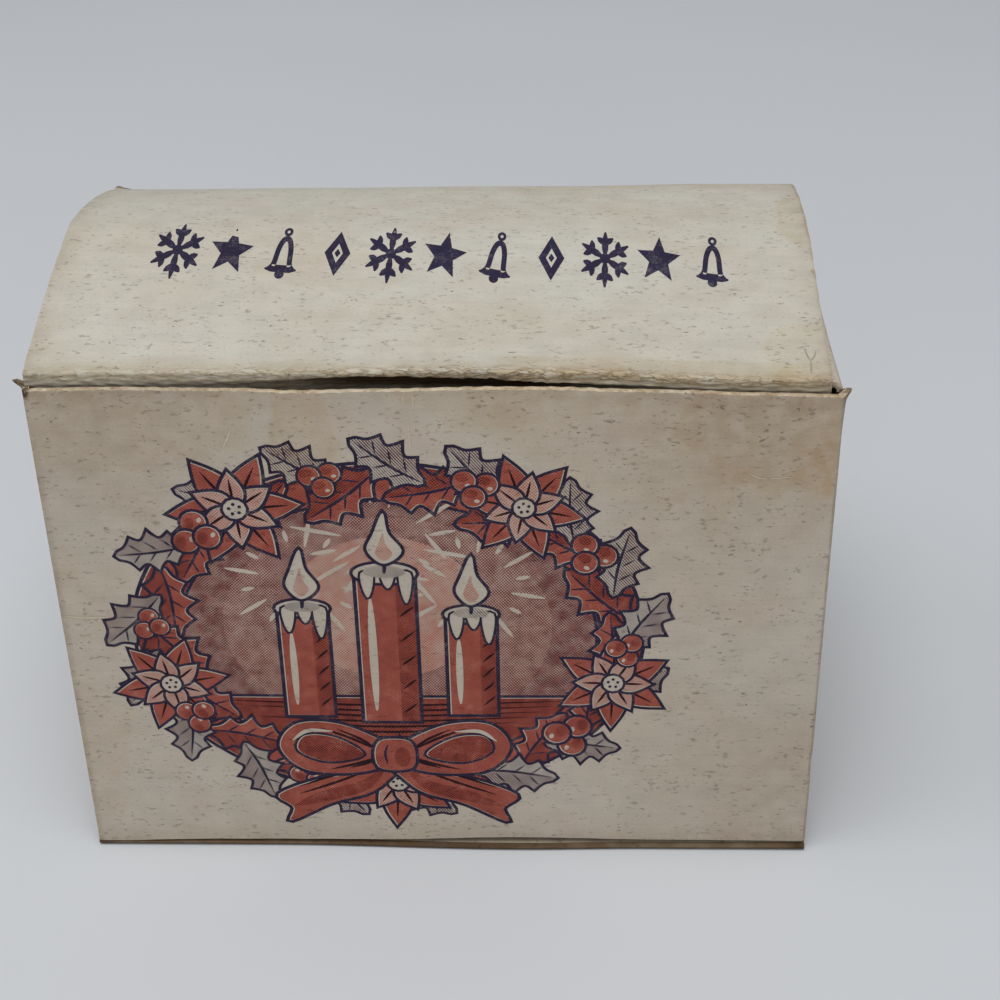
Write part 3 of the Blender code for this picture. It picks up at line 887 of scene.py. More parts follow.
class Nodes:
    """Adds nodes to a tree and joins them."""

    def __init__(self, tree):
        self.tree = tree

    def feed(self, socket, value):
        """Join a socket to another, or set its own value."""
        if isinstance(value, bpy.types.NodeSocket):
            self.tree.links.new(value, socket)
        else:
            socket.default_value = value

    def add(self, kind, inputs=None, **settings):
        """A node with its settings and its inputs."""
        node = self.tree.nodes.new(kind)
        for name, value in settings.items():
            setattr(node, name, value)
        for key, value in (inputs or {}).items():
            self.feed(node.inputs[key], value)
        return node

    def math(self, operation, first, second=0.0, third=0.0):
        """Result of a Math node."""
        node = self.add("ShaderNodeMath", {0: first, 1: second, 2: third}, operation=operation)
        return node.outputs[0]

    def plus(self, first, second):
        """Sum."""
        return self.math("ADD", first, second)

    def minus(self, first, second):
        """Difference."""
        return self.math("SUBTRACT", first, second)

    def times(self, first, second):
        """Product."""
        return self.math("MULTIPLY", first, second)

    def times_plus(self, first, second, third):
        """Product and a further sum."""
        return self.math("MULTIPLY_ADD", first, second, third)

    def chance(self, seed, low):
        """A random value from low to 1 for each instance."""
        inputs = {"Seed": seed, 2: low, 3: 1.0}
        return self.add("FunctionNodeRandomValue", inputs, data_type="FLOAT").outputs[1]

    def vector(self, operation, first, second):
        """Vector result of a Vector Math node."""
        return self.add("ShaderNodeVectorMath", {0: first, 1: second}, operation=operation).outputs["Vector"]

    def ramp(self, value, low, high, bottom=0.0, top=1.0):
        """Soft step from bottom to top while the value goes from low to high."""
        inputs = {"Value": value, "From Min": low, "From Max": high, "To Min": bottom, "To Max": top}
        return self.add("ShaderNodeMapRange", inputs, interpolation_type="SMOOTHSTEP").outputs["Result"]

    def blend(self, share, first, second, kind="MIX"):
        """Colour between two colours."""
        node = self.add("ShaderNodeMix", data_type="RGBA", blend_type=kind)
        self.feed(node.inputs[0], share)
        self.feed(node.inputs[6], first)
        self.feed(node.inputs[7], second)
        return node.outputs[2]

    def tint(self, share, colour, through):
        """A colour seen through a tint."""
        return self.blend(share, colour, (*through, 1.0), "MULTIPLY")

    def noise(self, place, scale, detail=2.0, stretch=None, shift=(0.0, 0.0, 0.0)):
        """Noise at a place in millimetres, drawn out along a direction where stretch is given."""
        if stretch:
            place = self.vector("MULTIPLY", place, stretch)
        place = self.vector("ADD", place, shift)
        return self.add("ShaderNodeTexNoise", {"Vector": place, "Scale": scale, "Detail": detail}).outputs[0]


def new_group(name, inputs, outputs):
    """An empty shader group with named sockets. Returns its node maker, its inputs and its output node."""
    group = bpy.data.node_groups.new(name, "ShaderNodeTree")
    for label, kind, default in inputs:
        socket = group.interface.new_socket(label, in_out="INPUT", socket_type=kind)
        socket.default_value = default
    for label, kind in outputs:
        group.interface.new_socket(label, in_out="OUTPUT", socket_type=kind)
    nodes = Nodes(group)
    source = nodes.add("NodeGroupInput").outputs
    return nodes, source, nodes.add("NodeGroupOutput")


def new_material(name):
    """A material. Returns it, its node maker and its surface node."""
    material = bpy.data.materials.new(name)
    material.use_nodes = True
    return material, Nodes(material.node_tree), material.node_tree.nodes["Principled BSDF"]


def recycled_board(name):
    """Colour and relief of aged recycled board: fibre, streaks, fleck, stains, soil, painted shade and rubbed
    places.
    """
    nodes, source, out = new_group(name, (
        ("Board", "NodeSocketColor", (0.5, 0.5, 0.4, 1.0)),
        ("Fleck", "NodeSocketFloat", 1.0),
        ("Streak", "NodeSocketFloat", 1.0),
        ("Patch", "NodeSocketFloat", 0.0),
    ), (("Colour", "NodeSocketColor"), ("Height", "NodeSocketFloat"), ("Roughness", "NodeSocketFloat")))
    sheet = nodes.add("ShaderNodeUVMap", uv_map=SHEET_MAP).outputs[0]
    place = nodes.vector("MULTIPLY", sheet, (1000.0, 1000.0, 1000.0))
    rub = nodes.add("ShaderNodeAttribute", attribute_name="rub").outputs["Fac"]
    grime = nodes.add("ShaderNodeAttribute", attribute_name="grime").outputs["Fac"]
    stain = nodes.add("ShaderNodeAttribute", attribute_name="stain").outputs["Fac"]
    crumple = nodes.add("ShaderNodeAttribute", attribute_name="crumple").outputs["Fac"]

    cloud = nodes.noise(place, 0.07, 3.0, shift=(3.0, 9.0, 0.0))
    warmth = nodes.noise(place, 0.16, 2.0, shift=(7.0, 2.0, 5.0))
    mottle = nodes.noise(place, 0.45, 4.0, stretch=(0.7, 1.0, 1.0))
    fibre = nodes.noise(place, 4.6, 3.0, stretch=(0.75, 1.25, 1.0))
    streak = nodes.noise(place, 1.0, 2.0, stretch=(0.12, 2.2, 1.0))
    colour = nodes.tint(nodes.ramp(cloud, 0.35, 0.68), source["Board"], (0.965, 0.95, 0.92))
    colour = nodes.tint(nodes.ramp(warmth, 0.45, 0.7), colour, (0.985, 0.95, 0.94))
    colour = nodes.tint(nodes.times(nodes.ramp(mottle, 0.3, 0.7), 0.8), colour, (0.90, 0.90, 0.895))
    colour = nodes.tint(nodes.times(nodes.ramp(streak, 0.4, 0.75), source["Streak"]), colour,
                        (0.965, 0.96, 0.955))
    colour = nodes.tint(nodes.ramp(fibre, 0.30, 0.72), colour, (0.935, 0.93, 0.92))
    patch = nodes.ramp(nodes.noise(place, 0.9, 3.0, shift=(4.0, 4.0, 2.0)), 0.38, 0.62)
    colour = nodes.tint(nodes.times(patch, source["Patch"]), colour, (0.66, 0.59, 0.50))

    gather = nodes.ramp(nodes.noise(place, 0.33, 2.0, shift=(2.0, 4.0, 9.0)), 0.35, 0.65, -0.045, 0.035)
    fleck = nodes.noise(place, 1.9, 3.0, stretch=(0.62, 1.35, 1.0), shift=(0.0, 0.0, 7.3))
    fleck_mask = nodes.times(nodes.ramp(nodes.plus(fleck, gather), 0.60, 0.69), source["Fleck"])
    colour = nodes.tint(fleck_mask, colour, (0.71, 0.69, 0.69))
    speck = nodes.noise(place, 2.7, 2.0, stretch=(0.65, 1.25, 1.0), shift=(5.0, 2.0, 1.7))
    speck_mask = nodes.times(nodes.ramp(nodes.plus(speck, gather), 0.70, 0.755), source["Fleck"])
    colour = nodes.tint(speck_mask, colour, (0.50, 0.46, 0.44))

    crack = nodes.noise(place, 1.7, 4.0, stretch=(0.42, 1.9, 1.0), shift=(6.0, 3.0, 8.0))
    ridge = nodes.minus(1.0, nodes.times(nodes.math("ABSOLUTE", nodes.minus(crack, 0.5)), 9.0))
    cracked = nodes.times(nodes.ramp(ridge, 0.35, 1.0), crumple)
    colour = nodes.tint(nodes.times(nodes.ramp(crack, 0.36, 0.62), crumple), colour, (0.94, 0.86, 0.74))
    colour = nodes.tint(cracked, colour, (0.62, 0.52, 0.40))
    broken = nodes.ramp(nodes.noise(place, 0.5, 5.0, shift=(8.0, 1.0, 4.0)), 0.3, 0.66)
    soaked = nodes.times(stain, nodes.times_plus(broken, 0.5, 0.5))
    colour = nodes.tint(soaked, colour, (0.90, 0.79, 0.62))
    # Soil brown from the grime-and-shade mark: real soil, and the first step of the painted shade that the
    # same mark carries.
    soil_and_shade_mask = nodes.times(nodes.times_plus(broken, 0.45, 0.5), grime)
    colour = nodes.tint(soil_and_shade_mask, colour, (0.58, 0.495, 0.40))
    # A deep brown where the mark runs high: painted shade in the lid's slot, along the lid's side edges and
    # at the tops of the front notches, and the darkened strip of the bottom lid's fold.
    colour = nodes.tint(nodes.ramp(grime, 0.8, 1.6), colour, (0.25, 0.19, 0.14))
    scuffed = nodes.ramp(nodes.times_plus(rub, 0.62, nodes.noise(place, 2.4, 4.0)), 0.78, 1.14)
    colour = nodes.blend(nodes.times(scuffed, 0.6), colour, (0.62, 0.57, 0.48, 1.0))

    relief = nodes.times_plus(fibre, 0.6, nodes.times(mottle, 0.5))
    relief = nodes.times_plus(scuffed, 0.35, relief)
    relief = nodes.times_plus(nodes.minus(crack, cracked), nodes.times(crumple, 2.2), relief)
    nodes.feed(out.inputs["Colour"], colour)
    nodes.feed(out.inputs["Height"], relief)
    nodes.feed(out.inputs["Roughness"], nodes.ramp(fibre, 0.2, 0.8, 0.82, 0.95))
    return nodes.tree


def print_screen(name):
    """Cover of a printed tint, 0 to 1: soft dots on a turned grid, or lines, that join as the tone rises."""
    nodes, source, out = new_group(name, (
        ("Tone", "NodeSocketFloat", 0.5),
        ("Pitch", "NodeSocketFloat", 0.3),
        ("Angle", "NodeSocketFloat", 0.785),
        ("Lines", "NodeSocketFloat", 0.0),
    ), (("Cover", "NodeSocketFloat"),))
    sheet = nodes.add("ShaderNodeUVMap", uv_map=SHEET_MAP).outputs[0]
    place = nodes.vector("MULTIPLY", sheet, (1000.0, 1000.0, 0.0))
    patchy = nodes.noise(place, 0.8, 4.0, shift=(1.0, 6.0, 2.0))
    grain = nodes.noise(place, 4.5, 2.0)
    turned = nodes.add("ShaderNodeVectorRotate", {"Vector": place, "Angle": source["Angle"]},
                       rotation_type="Z_AXIS").outputs[0]
    parts = nodes.add("ShaderNodeSeparateXYZ", {0: turned}).outputs
    waves = []
    for part in (parts[0], parts[1]):
        phase = nodes.times(nodes.math("DIVIDE", part, source["Pitch"]), 2 * math.pi)
        waves.append(nodes.math("COSINE", phase))
    more = nodes.times(waves[0], nodes.plus(1.0, source["Lines"]))
    less = nodes.times(waves[1], nodes.minus(1.0, source["Lines"]))
    dot = nodes.times_plus(nodes.plus(more, less), 0.25, 0.5)
    tone = nodes.times_plus(nodes.minus(patchy, 0.5), 0.75, source["Tone"])
    excess = nodes.minus(nodes.plus(dot, tone), 1.0)
    dots = nodes.ramp(excess, -0.6, 0.6)
    solid = nodes.ramp(source["Tone"], 0.75, 0.9)
    laid = nodes.ramp(nodes.times_plus(patchy, 0.5, nodes.times(grain, 0.5)), 0.28, 0.5, 0.80)
    dots = nodes.times(dots, nodes.ramp(grain, 0.2, 0.45, 0.75))
    share = nodes.add("ShaderNodeMix", {0: solid, 2: dots, 3: nodes.times(laid, source["Tone"])})
    nodes.feed(out.inputs["Cover"], share.outputs[0])
    return nodes.tree


def use_group(nodes, name, maker, inputs):
    """Place a group in a material. The group is made once."""
    node = nodes.add("ShaderNodeGroup", node_tree=bpy.data.node_groups.get(name) or maker(name))
    for key, value in inputs.items():
        nodes.feed(node.inputs[key], value)
    return node


def board_material(name, colour, fleck=1.0, streak=1.0, patch=0.0, relief=0.05, inks=()):
    """Matt recycled board, with a screened tint of each ink over it where inks are given."""
    material, nodes, surface = new_material(name)
    stock = use_group(nodes, "Recycled board", recycled_board,
                      {"Board": colour, "Fleck": fleck, "Streak": streak, "Patch": patch})
    shade = stock.outputs["Colour"]
    for ink, tone, pitch, angle, lines in inks:
        if tone > 0:
            cover = use_group(nodes, "Print screen", print_screen,
                              {"Tone": tone, "Pitch": pitch, "Angle": angle, "Lines": lines})
            shade = nodes.blend(cover.outputs["Cover"], shade, ink, "MULTIPLY")
    bump = nodes.add("ShaderNodeBump", {"Height": stock.outputs["Height"], "Strength": 0.8,
                                        "Distance": relief * MM})
    nodes.feed(surface.inputs["Base Color"], shade)
    nodes.feed(surface.inputs["Roughness"], stock.outputs["Roughness"])
    nodes.feed(surface.inputs["Normal"], bump.outputs["Normal"])
    surface.inputs["Specular IOR Level"].default_value = 0.25
    material.diffuse_color = colour
    return material


def board_materials(board, name, face):
    """Materials of a board's printed face, inner face and raw edges."""
    return [board_material(name + " face", face),
            board_material(name + " inside", board.inner_face, streak=0.6, relief=0.07),
            board_material(name + " raw edge", board.raw_edge, streak=0.0, patch=0.8, relief=0.12)]


def ink_materials(prints, name, face):
    """A material for each ink, on the board that shows through it."""
    pitch = prints.screen_pitch / MM
    made = {}
    for ink in INKS:
        red, navy = INK_TONES[ink]
        lines = 0.85 if ink in LINED_INKS else 0.0
        screens = ((prints.red, red, pitch, math.radians(45.0), lines),
                   (prints.navy, navy, pitch, math.radians(-38.0), lines))
        made[ink] = board_material(f"{name} {ink} ink", face, inks=screens)
    return made


def ellipse(centre, half_width, half_height, points=24):
    """Closed round outline."""
    angles = np.linspace(0.0, 2 * math.pi, points, endpoint=False)
    return np.stack([half_width * np.cos(angles), half_height * np.sin(angles)], axis=1) + centre


def grown(outline, distance):
    """A closed outline moved outwards all round."""
    ahead = np.roll(outline, -1, axis=0) - outline
    area = np.sum(outline[:, 0] * np.roll(outline[:, 1], -1) - outline[:, 1] * np.roll(outline[:, 0], -1))
    normal = np.stack([ahead[:, 1], -ahead[:, 0]], axis=1) * (1 if area > 0 else -1)
    normal /= np.maximum(np.linalg.norm(normal, axis=1, keepdims=True), 1e-9)
    before = np.roll(normal, 1, axis=0)
    corner = normal + before
    scale = 2 / np.maximum(np.sum(corner * corner, axis=1, keepdims=True), 0.8)
    return outline + corner * scale * distance


def outlined(ink, outline, line=OUTLINE):
    """A filled shape on a navy one that shows as its outline. A red fill sits a little off its line."""
    if ink not in RED_INKS:
        return [("navy", grown(outline, line)), (ink, outline)]
    printed = grown(outline, -MISFIT) + (MISFIT, -0.7 * MISFIT)
    return [("navy", grown(outline, line)), (BARE, outline), (ink, printed)]


def stroke(points, width, taper=0.6, steps=14):
    """A brush line through a few points, thinner towards its ends."""
    points = np.asarray(points, float)
    if len(points) == 2:
        line = points[0] + (points[1] - points[0]) * np.linspace(0, 1, steps)[:, None]
    else:
        line = curve(points, steps)
    share = np.linspace(0.0, 1.0, len(line))
    half = width / 2 * np.maximum(np.sin(math.pi * share) ** taper, 0.25)
    heading = np.gradient(line, axis=0)
    heading /= np.maximum(np.linalg.norm(heading, axis=1, keepdims=True), 1e-9)
    aside = np.stack([-heading[:, 1], heading[:, 0]], axis=1) * half[:, None]
    return np.concatenate([line + aside, (line - aside)[::-1]])


def spline_point(four, share):
    """A point on the smooth line through four points, part of the way from the second to the third."""
    before, start, end, after = four
    return 0.5 * (2 * start + (end - before) * share + (2 * before - 5 * start + 4 * end - after) * share ** 2
                  + (3 * start - before - 3 * end + after) * share ** 3)


def curve(points, steps):
    """A smooth line through points."""
    points = np.asarray(points, float)
    padded = np.concatenate([2 * points[:1] - points[1:2], points, 2 * points[-1:] - points[-2:-1]])
    made = []
    for place in np.linspace(0.0, len(points) - 1, steps):
        span = min(int(place), len(points) - 2)
        made.append(spline_point(padded[span:span + 4], place - span))
    return np.array(made)


def closed_curve(points, steps):
    """A smooth closed outline through points."""
    points = np.asarray(points, float)
    looped = np.concatenate([points[-1:], points, points[:2]])
    places = np.linspace(0.0, len(points), steps, endpoint=False)
    return np.array([spline_point(looped[int(place):int(place) + 4], place % 1) for place in places])


def holly_leaf(length, width, spines):
    """A leaf from its stalk at the origin along +X, with sharp spines and hollows between them."""
    share = np.linspace(0.0, 1.0, 6 * spines + 1)
    half = width / 2 * np.sin(math.pi * share) ** 0.75 * (1 - 0.42 * np.abs(np.sin(spines * math.pi * share)))
    upper = np.stack([length * share, half], axis=1)
    lower = np.stack([length * share, -half], axis=1)[::-1]
    return np.concatenate([lower, upper[1:-1]])


def leaf_motif(fill, shade):
    """A holly leaf with its outline, shaded half, vein and side veins."""
    leaf = holly_leaf(8.4, 5.0, 4)
    lower = leaf[leaf[:, 1] <= 0.01]
    shapes = outlined(fill, leaf)
    shapes.append((shade, lower))
    shapes.append(("navy", stroke([(0.2, 0.0), (3.6, 0.25), (7.9, 0.0)], 0.34)))
    for x in (2.0, 3.8, 5.6):
        shapes.append(("navy", stroke([(x, 0.1), (x + 1.1, 1.25)], 0.2)))
        shapes.append(("navy", stroke([(x, -0.1), (x + 1.1, -1.25)], 0.2)))
    return shapes


def petal(length, width, heading):
    """A pointed petal from the origin."""
    share = np.linspace(0.0, 1.0, 11)
    half = width / 2 * np.sin(math.pi * share ** 0.8)
    x = np.concatenate([length * share, length * share[-2:0:-1]])
    y = np.concatenate([-half, half[-2:0:-1]])
    return np.stack([x * math.cos(heading) - y * math.sin(heading),
                     x * math.sin(heading) + y * math.cos(heading)], axis=1)


def flower_motif():
    """A winter flower of two rings of pointed petals."""
    shapes = []
    for ring, (count, length, width, fill) in enumerate(((6, 5.2, 2.5, "brick"), (6, 3.4, 1.9, "rose"))):
        for number in range(count):
            heading = 2 * math.pi * (number + 0.5 * ring) / count
            shapes += outlined(fill, petal(length, width, heading), 0.28)
            far = np.array([math.cos(heading), math.sin(heading)])
            shapes.append(("umber", stroke([far * 0.6, far * length * 0.8], 0.24)))
    shapes += outlined(BARE, ellipse((0.0, 0.0), 0.9, 0.9, 12), 0.25)
    for number in range(5):
        heading = 2 * math.pi * number / 5
        shapes.append(("navy", ellipse((0.45 * math.cos(heading), 0.45 * math.sin(heading)), 0.16, 0.16, 6)))
    return shapes


def berry_motif():
    """Three berries, each with a bare highlight."""
    shapes = []
    for x, y in ((-1.1, -0.5), (1.1, -0.6), (0.0, 1.1)):
        shapes += outlined("brick", ellipse((x, y), 1.15, 1.15, 16), 0.3)
        shapes.append(("deep", ellipse((x + 0.3, y - 0.4), 0.7, 0.5, 10)))
        shapes.append((BARE, ellipse((x - 0.4, y + 0.4), 0.3, 0.22, 8)))
    return shapes


def star_outline(points, far, near):
    """A star with straight sides."""
    angles = math.pi / 2 + np.arange(2 * points) * math.pi / points
    radii = np.where(np.arange(2 * points) % 2 == 0, far, near)
    return np.stack([radii * np.cos(angles), radii * np.sin(angles)], axis=1)


def flake_motif(arms, reach, bar):
    """A snow flake of plain bars, with two short bars on each arm."""
    shapes = []
    for number in range(arms):
        heading = math.pi / 2 + 2 * math.pi * number / arms
        along = np.array([math.cos(heading), math.sin(heading)])
        shapes.append(("navy", stroke([along * 0.1, along * reach], bar, 0.15, 4)))
        for tilt in (-0.9, 0.9):
            twig = np.array([math.cos(heading + tilt), math.sin(heading + tilt)])
            shapes.append(("navy", stroke([along * reach * 0.52, along * reach * 0.52 + twig * reach * 0.38],
                                          bar * 0.85, 0.15, 4)))
    shapes.append(("navy", ellipse((0.0, 0.0), bar * 0.8, bar * 0.8, 10)))
    return shapes


def bell_motif():
    """A plain bell with its clapper."""
    side = [(1.9, -2.4), (1.5, -1.5), (1.25, 0.6), (0.75, 1.9), (0.0, 2.3)]
    outline = np.array(side + [(-x, y) for x, y in side[-2::-1]])
    return [("navy", closed_curve(outline, 40)), (BARE, grown(closed_curve(outline, 40), -0.75)),
            ("navy", stroke([(-2.3, -2.35), (2.3, -2.35)], 0.8, 0.1, 6)),
            ("navy", ellipse((0, -3.0), 0.7, 0.6, 12)), ("navy", ellipse((0, 2.9), 0.65, 0.65, 12)),
            (BARE, ellipse((0, 2.9), 0.25, 0.25, 8))]


def lid_motifs():
    """The ornaments that take turns along the lid."""
    star = [("navy", star_outline(5, 3.3, 1.45))]
    diamond = [("navy", star_outline(2, 3.1, 1.9)), (BARE, star_outline(2, 1.35, 0.8)),
               ("navy", star_outline(2, 0.6, 0.45))]
    return [flake_motif(6, 3.9, 0.95), star, bell_motif(), diamond]


def candle(centre, base, top, half_width):
    """A burning candle with a shaded side, a highlight, drips and a flame."""
    half, shade = half_width, half_width * 0.35
    shapes = outlined("brick", np.array([(-half, base), (half, base), (half, top), (-half, top)]))
    shapes.append(("deep", np.array([(shade, base), (half, base), (half, top), (shade, top)])))
    light = [(-half * 0.55, base + 1.2), (-half * 0.55, top - 2.6)]
    shapes.append((BARE, stroke(light, half * 0.3, 0.4)))
    for number in range(5):
        level = base + 1.0 + number * (top - base - 3.0) / 5
        shapes.append(("umber", stroke([(half * 0.45, level), (half * 0.95, level + 1.1)], 0.24)))
    shapes += outlined(BARE, ellipse((0.0, top), half + 0.25, half * 0.42, 20), 0.3)
    for side, drop in ((-0.62, 2.6), (0.1, 1.6), (0.72, 3.2)):
        x = side * half
        drip = [(x - 0.5, top), (x - 0.42, top - drop * 0.6), (x, top - drop), (x + 0.42, top - drop * 0.6),
                (x + 0.5, top)]
        shapes += outlined(BARE, closed_curve(drip, 16), 0.22)
    shapes.append(("haze", ellipse((0.0, top + 0.15), half * 0.75, half * 0.26, 16)))
    shapes.append(("navy", stroke([(0.0, top), (0.1, top + 1.3)], 0.36, 0.2)))
    flame = closed_curve([(0.0, top + 1.0), (shade + 0.75, top + 2.3), (0.5, top + 4.2), (0.15, top + 6.2),
                          (-0.75, top + 4.1), (-shade - 0.5, top + 2.4)], 28)
    shapes += outlined(BARE, flame, 0.3)
    shapes.append(("rose", (flame - (0.0, top + 2.8)) * (0.5, 0.55) + (0.0, top + 2.3)))
    return moved(shapes, (centre, 0.0))


def flame_rays(centre, height, reach, count):
    """Short rays round a flame."""
    shapes = []
    for number in range(count):
        heading = 2 * math.pi * (number + 0.5) / count
        along = np.array([math.cos(heading), math.sin(heading)])
        middle = np.array([centre, height])
        near = 3.6 if number % 2 else 4.1
        ray = [middle + along * near, middle + along * reach * (1.0 if number % 2 else 0.8)]
        shapes.append((BARE, stroke(ray, 0.42, 0.5, 6)))
    return shapes


def ribbon_bow(centre):
    """A two-looped ribbon bow with notched tails."""
    shapes = []

    def beside(outline, side=1):
        """A shape beside the centre, mirrored where side is -1."""
        return np.asarray(outline) * (side, 1) + centre

    for side in (-1, 1):
        tail = [(0.4, -0.4), (3.4, -2.2), (7.2, -3.0), (11.2, -5.0), (9.9, -6.6), (10.2, -8.3), (6.2, -6.0),
                (2.4, -4.6), (0.0, -2.2)]
        shapes += outlined("brick", beside(curve(tail, 36), side))
        fold = [(1.0, -1.6), (3.6, -3.4), (6.8, -4.4), (9.8, -6.4), (6.0, -5.6), (2.6, -4.2)]
        shapes.append(("deep", beside(closed_curve(fold, 26), side)))
        for lift in (0.0, 0.9):
            line = [(2.2, -1.7 + lift * 0.3), (5.4, -3.3 + lift), (9.2, -4.9 + lift)]
            shapes.append(("umber", beside(stroke(line, 0.30), side)))
    for side in (-1, 1):
        loop = [(0.2, -0.9), (3.6, -2.2), (8.4, -1.9), (10.6, 0.9), (8.8, 3.6), (4.6, 3.5), (0.2, 0.9)]
        shapes += outlined("brick", beside(closed_curve(loop, 44), side))
        hollow = [(2.9, 0.0), (6.2, -0.9), (8.9, 0.4), (8.2, 2.2), (5.4, 2.0)]
        shapes += outlined("deep", beside(closed_curve(hollow, 30), side), 0.26)
        for reach, rise in ((5.2, 3.0), (6.6, 3.1), (4.2, -1.6), (6.0, -1.8)):
            line = [(1.3, rise * 0.12), (reach * 0.6, rise * 0.62), (reach, rise)]
            shapes.append(("umber", beside(stroke(line, 0.30), side)))
        shapes.append((BARE, beside(stroke([(5.6, 2.75), (7.9, 2.75), (9.4, 1.6)], 0.42), side)))
    knot = [(-1.6, -1.5), (0.0, -1.9), (1.6, -1.5), (1.9, 0.2), (1.4, 1.6), (0.0, 1.9), (-1.4, 1.6),
            (-1.9, 0.2)]
    shapes += outlined("brick", beside(closed_curve(knot, 24)))
    shapes.append(("deep", beside(ellipse((0.7, -0.3), 0.75, 1.2, 14))))
    shapes.append(("navy", beside(stroke([(-0.7, -1.2), (-0.9, 0.1), (-0.6, 1.2)], 0.26))))
    return shapes


def moved(shapes, offset, scale=1.0):
    """Shapes scaled and then shifted by an offset."""
    return [(ink, np.asarray(outline) * scale + offset) for ink, outline in shapes]


def motif_object(name, shapes):
    """A flat mesh with one face for each shape, in order, that carries the number of its ink."""
    mesh = bpy.data.meshes.new(name)
    points = []
    faces = []
    for _, outline in shapes:
        faces.append(list(range(len(points), len(points) + len(outline))))
        points += [(x, y, 0.0) for x, y in outline]
    mesh.from_pydata(points, [], faces)
    numbers = mesh.attributes.new("ink", "INT", "FACE")
    numbers.data.foreach_set("value", [(INKS + (BARE,)).index(ink) for ink, _ in shapes])
    return new_object(name, mesh)


def new_tree(name, inputs):
    """An empty Geometry Nodes tree with named inputs. Returns its node maker, inputs and output node."""
    tree = bpy.data.node_groups.new(name, "GeometryNodeTree")
    tree.interface.new_socket("Geometry", in_out="OUTPUT", socket_type="NodeSocketGeometry")
    for label, kind, default in inputs:
        socket = tree.interface.new_socket(label, in_out="INPUT", socket_type=kind)
        if default is not None:
            socket.default_value = default
    nodes = Nodes(tree)
    source = nodes.add("NodeGroupInput").outputs
    return nodes, source, nodes.add("NodeGroupOutput")


def finish_inked(nodes, instances, out, materials):
    """End a tree: make the instances real and give each ink's faces its material."""
    shape = nodes.add("GeometryNodeRealizeInstances", {0: instances}).outputs[0]
    number = nodes.add("GeometryNodeInputNamedAttribute", {"Name": "ink"},
                       data_type="INT").outputs["Attribute"]
    for index, material in enumerate(materials):
        same = nodes.add("FunctionNodeCompare", data_type="INT", operation="EQUAL")
        nodes.feed(same.inputs[2], number)
        nodes.feed(same.inputs[3], index)
        shape = nodes.add("GeometryNodeSetMaterial",
                          {"Geometry": shape, "Selection": same.outputs[0], "Material": material}).outputs[0]
    nodes.feed(out.inputs[0], shape)


def ring_tree(name, materials):
    """Motifs set round an oval, turned along it, with a little chance in their turn and size."""
    nodes, source, out = new_tree(name, (
        ("Motif", "NodeSocketObject", None), ("Count", "NodeSocketInt", 12),
        ("Half Width", "NodeSocketFloat", 20.0), ("Half Height", "NodeSocketFloat", 16.0),
        ("Start", "NodeSocketFloat", 0.0), ("Tilt", "NodeSocketFloat", 0.0),
        ("Looseness", "NodeSocketFloat", 0.1), ("Size", "NodeSocketFloat", 1.0),
        ("Seed", "NodeSocketInt", 1)))
    index = nodes.add("GeometryNodeInputIndex").outputs[0]
    share = nodes.math("DIVIDE", index, source["Count"])
    angle = nodes.times_plus(share, 2 * math.pi, source["Start"])
    x = nodes.times(nodes.math("COSINE", angle), source["Half Width"])
    y = nodes.times(nodes.math("SINE", angle), source["Half Height"])
    place = nodes.add("ShaderNodeCombineXYZ", {"X": x, "Y": y}).outputs[0]
    points = nodes.add("GeometryNodePoints", {"Count": source["Count"], "Position": place}).outputs[0]
    run_x = nodes.times(nodes.math("SINE", angle), nodes.times(source["Half Width"], -1.0))
    run_y = nodes.times(nodes.math("COSINE", angle), source["Half Height"])
    heading = nodes.plus(nodes.math("ARCTAN2", run_y, run_x), source["Tilt"])
    chance = nodes.chance(source["Seed"], -1.0)
    loose = nodes.times(chance, source["Looseness"])
    turn = nodes.add("ShaderNodeCombineXYZ", {"Z": nodes.plus(heading, loose)}).outputs[0]
    size = nodes.times(source["Size"], nodes.times_plus(loose, 0.4, 1.0))
    motif = nodes.add("GeometryNodeObjectInfo", {"Object": source["Motif"]}).outputs["Geometry"]
    instances = nodes.add("GeometryNodeInstanceOnPoints",
                          {"Points": points, "Instance": motif, "Rotation": turn, "Scale": size}).outputs[0]
    finish_inked(nodes, instances, out, materials)
    return nodes.tree


def row_tree(name, materials):
    """Motifs that take turns along a straight row."""
    nodes, source, out = new_tree(name, (
        ("Motifs", "NodeSocketCollection", None), ("Count", "NodeSocketInt", 11),
        ("Spacing", "NodeSocketFloat", 5.0), ("Lean", "NodeSocketFloat", 0.0),
        ("Looseness", "NodeSocketFloat", 0.05), ("Seed", "NodeSocketInt", 1)))
    index = nodes.add("GeometryNodeInputIndex").outputs[0]
    half = nodes.times(nodes.minus(source["Count"], 1.0), 0.5)
    x = nodes.times(nodes.minus(index, half), source["Spacing"])
    place = nodes.add("ShaderNodeCombineXYZ", {"X": x}).outputs[0]
    points = nodes.add("GeometryNodePoints", {"Count": source["Count"], "Position": place}).outputs[0]
    chance = nodes.chance(source["Seed"], -1.0)
    loose = nodes.times_plus(chance, source["Looseness"], source["Lean"])
    turn = nodes.add("ShaderNodeCombineXYZ", {"Z": loose}).outputs[0]
    motifs = nodes.add("GeometryNodeCollectionInfo", {"Collection": source["Motifs"],
                                                      "Separate Children": True,
                                                      "Reset Children": True}).outputs[0]
    instances = nodes.add("GeometryNodeInstanceOnPoints",
                          {"Points": points, "Instance": motifs, "Pick Instance": True,
                           "Instance Index": index, "Rotation": turn}).outputs[0]
    finish_inked(nodes, instances, out, materials)
    return nodes.tree


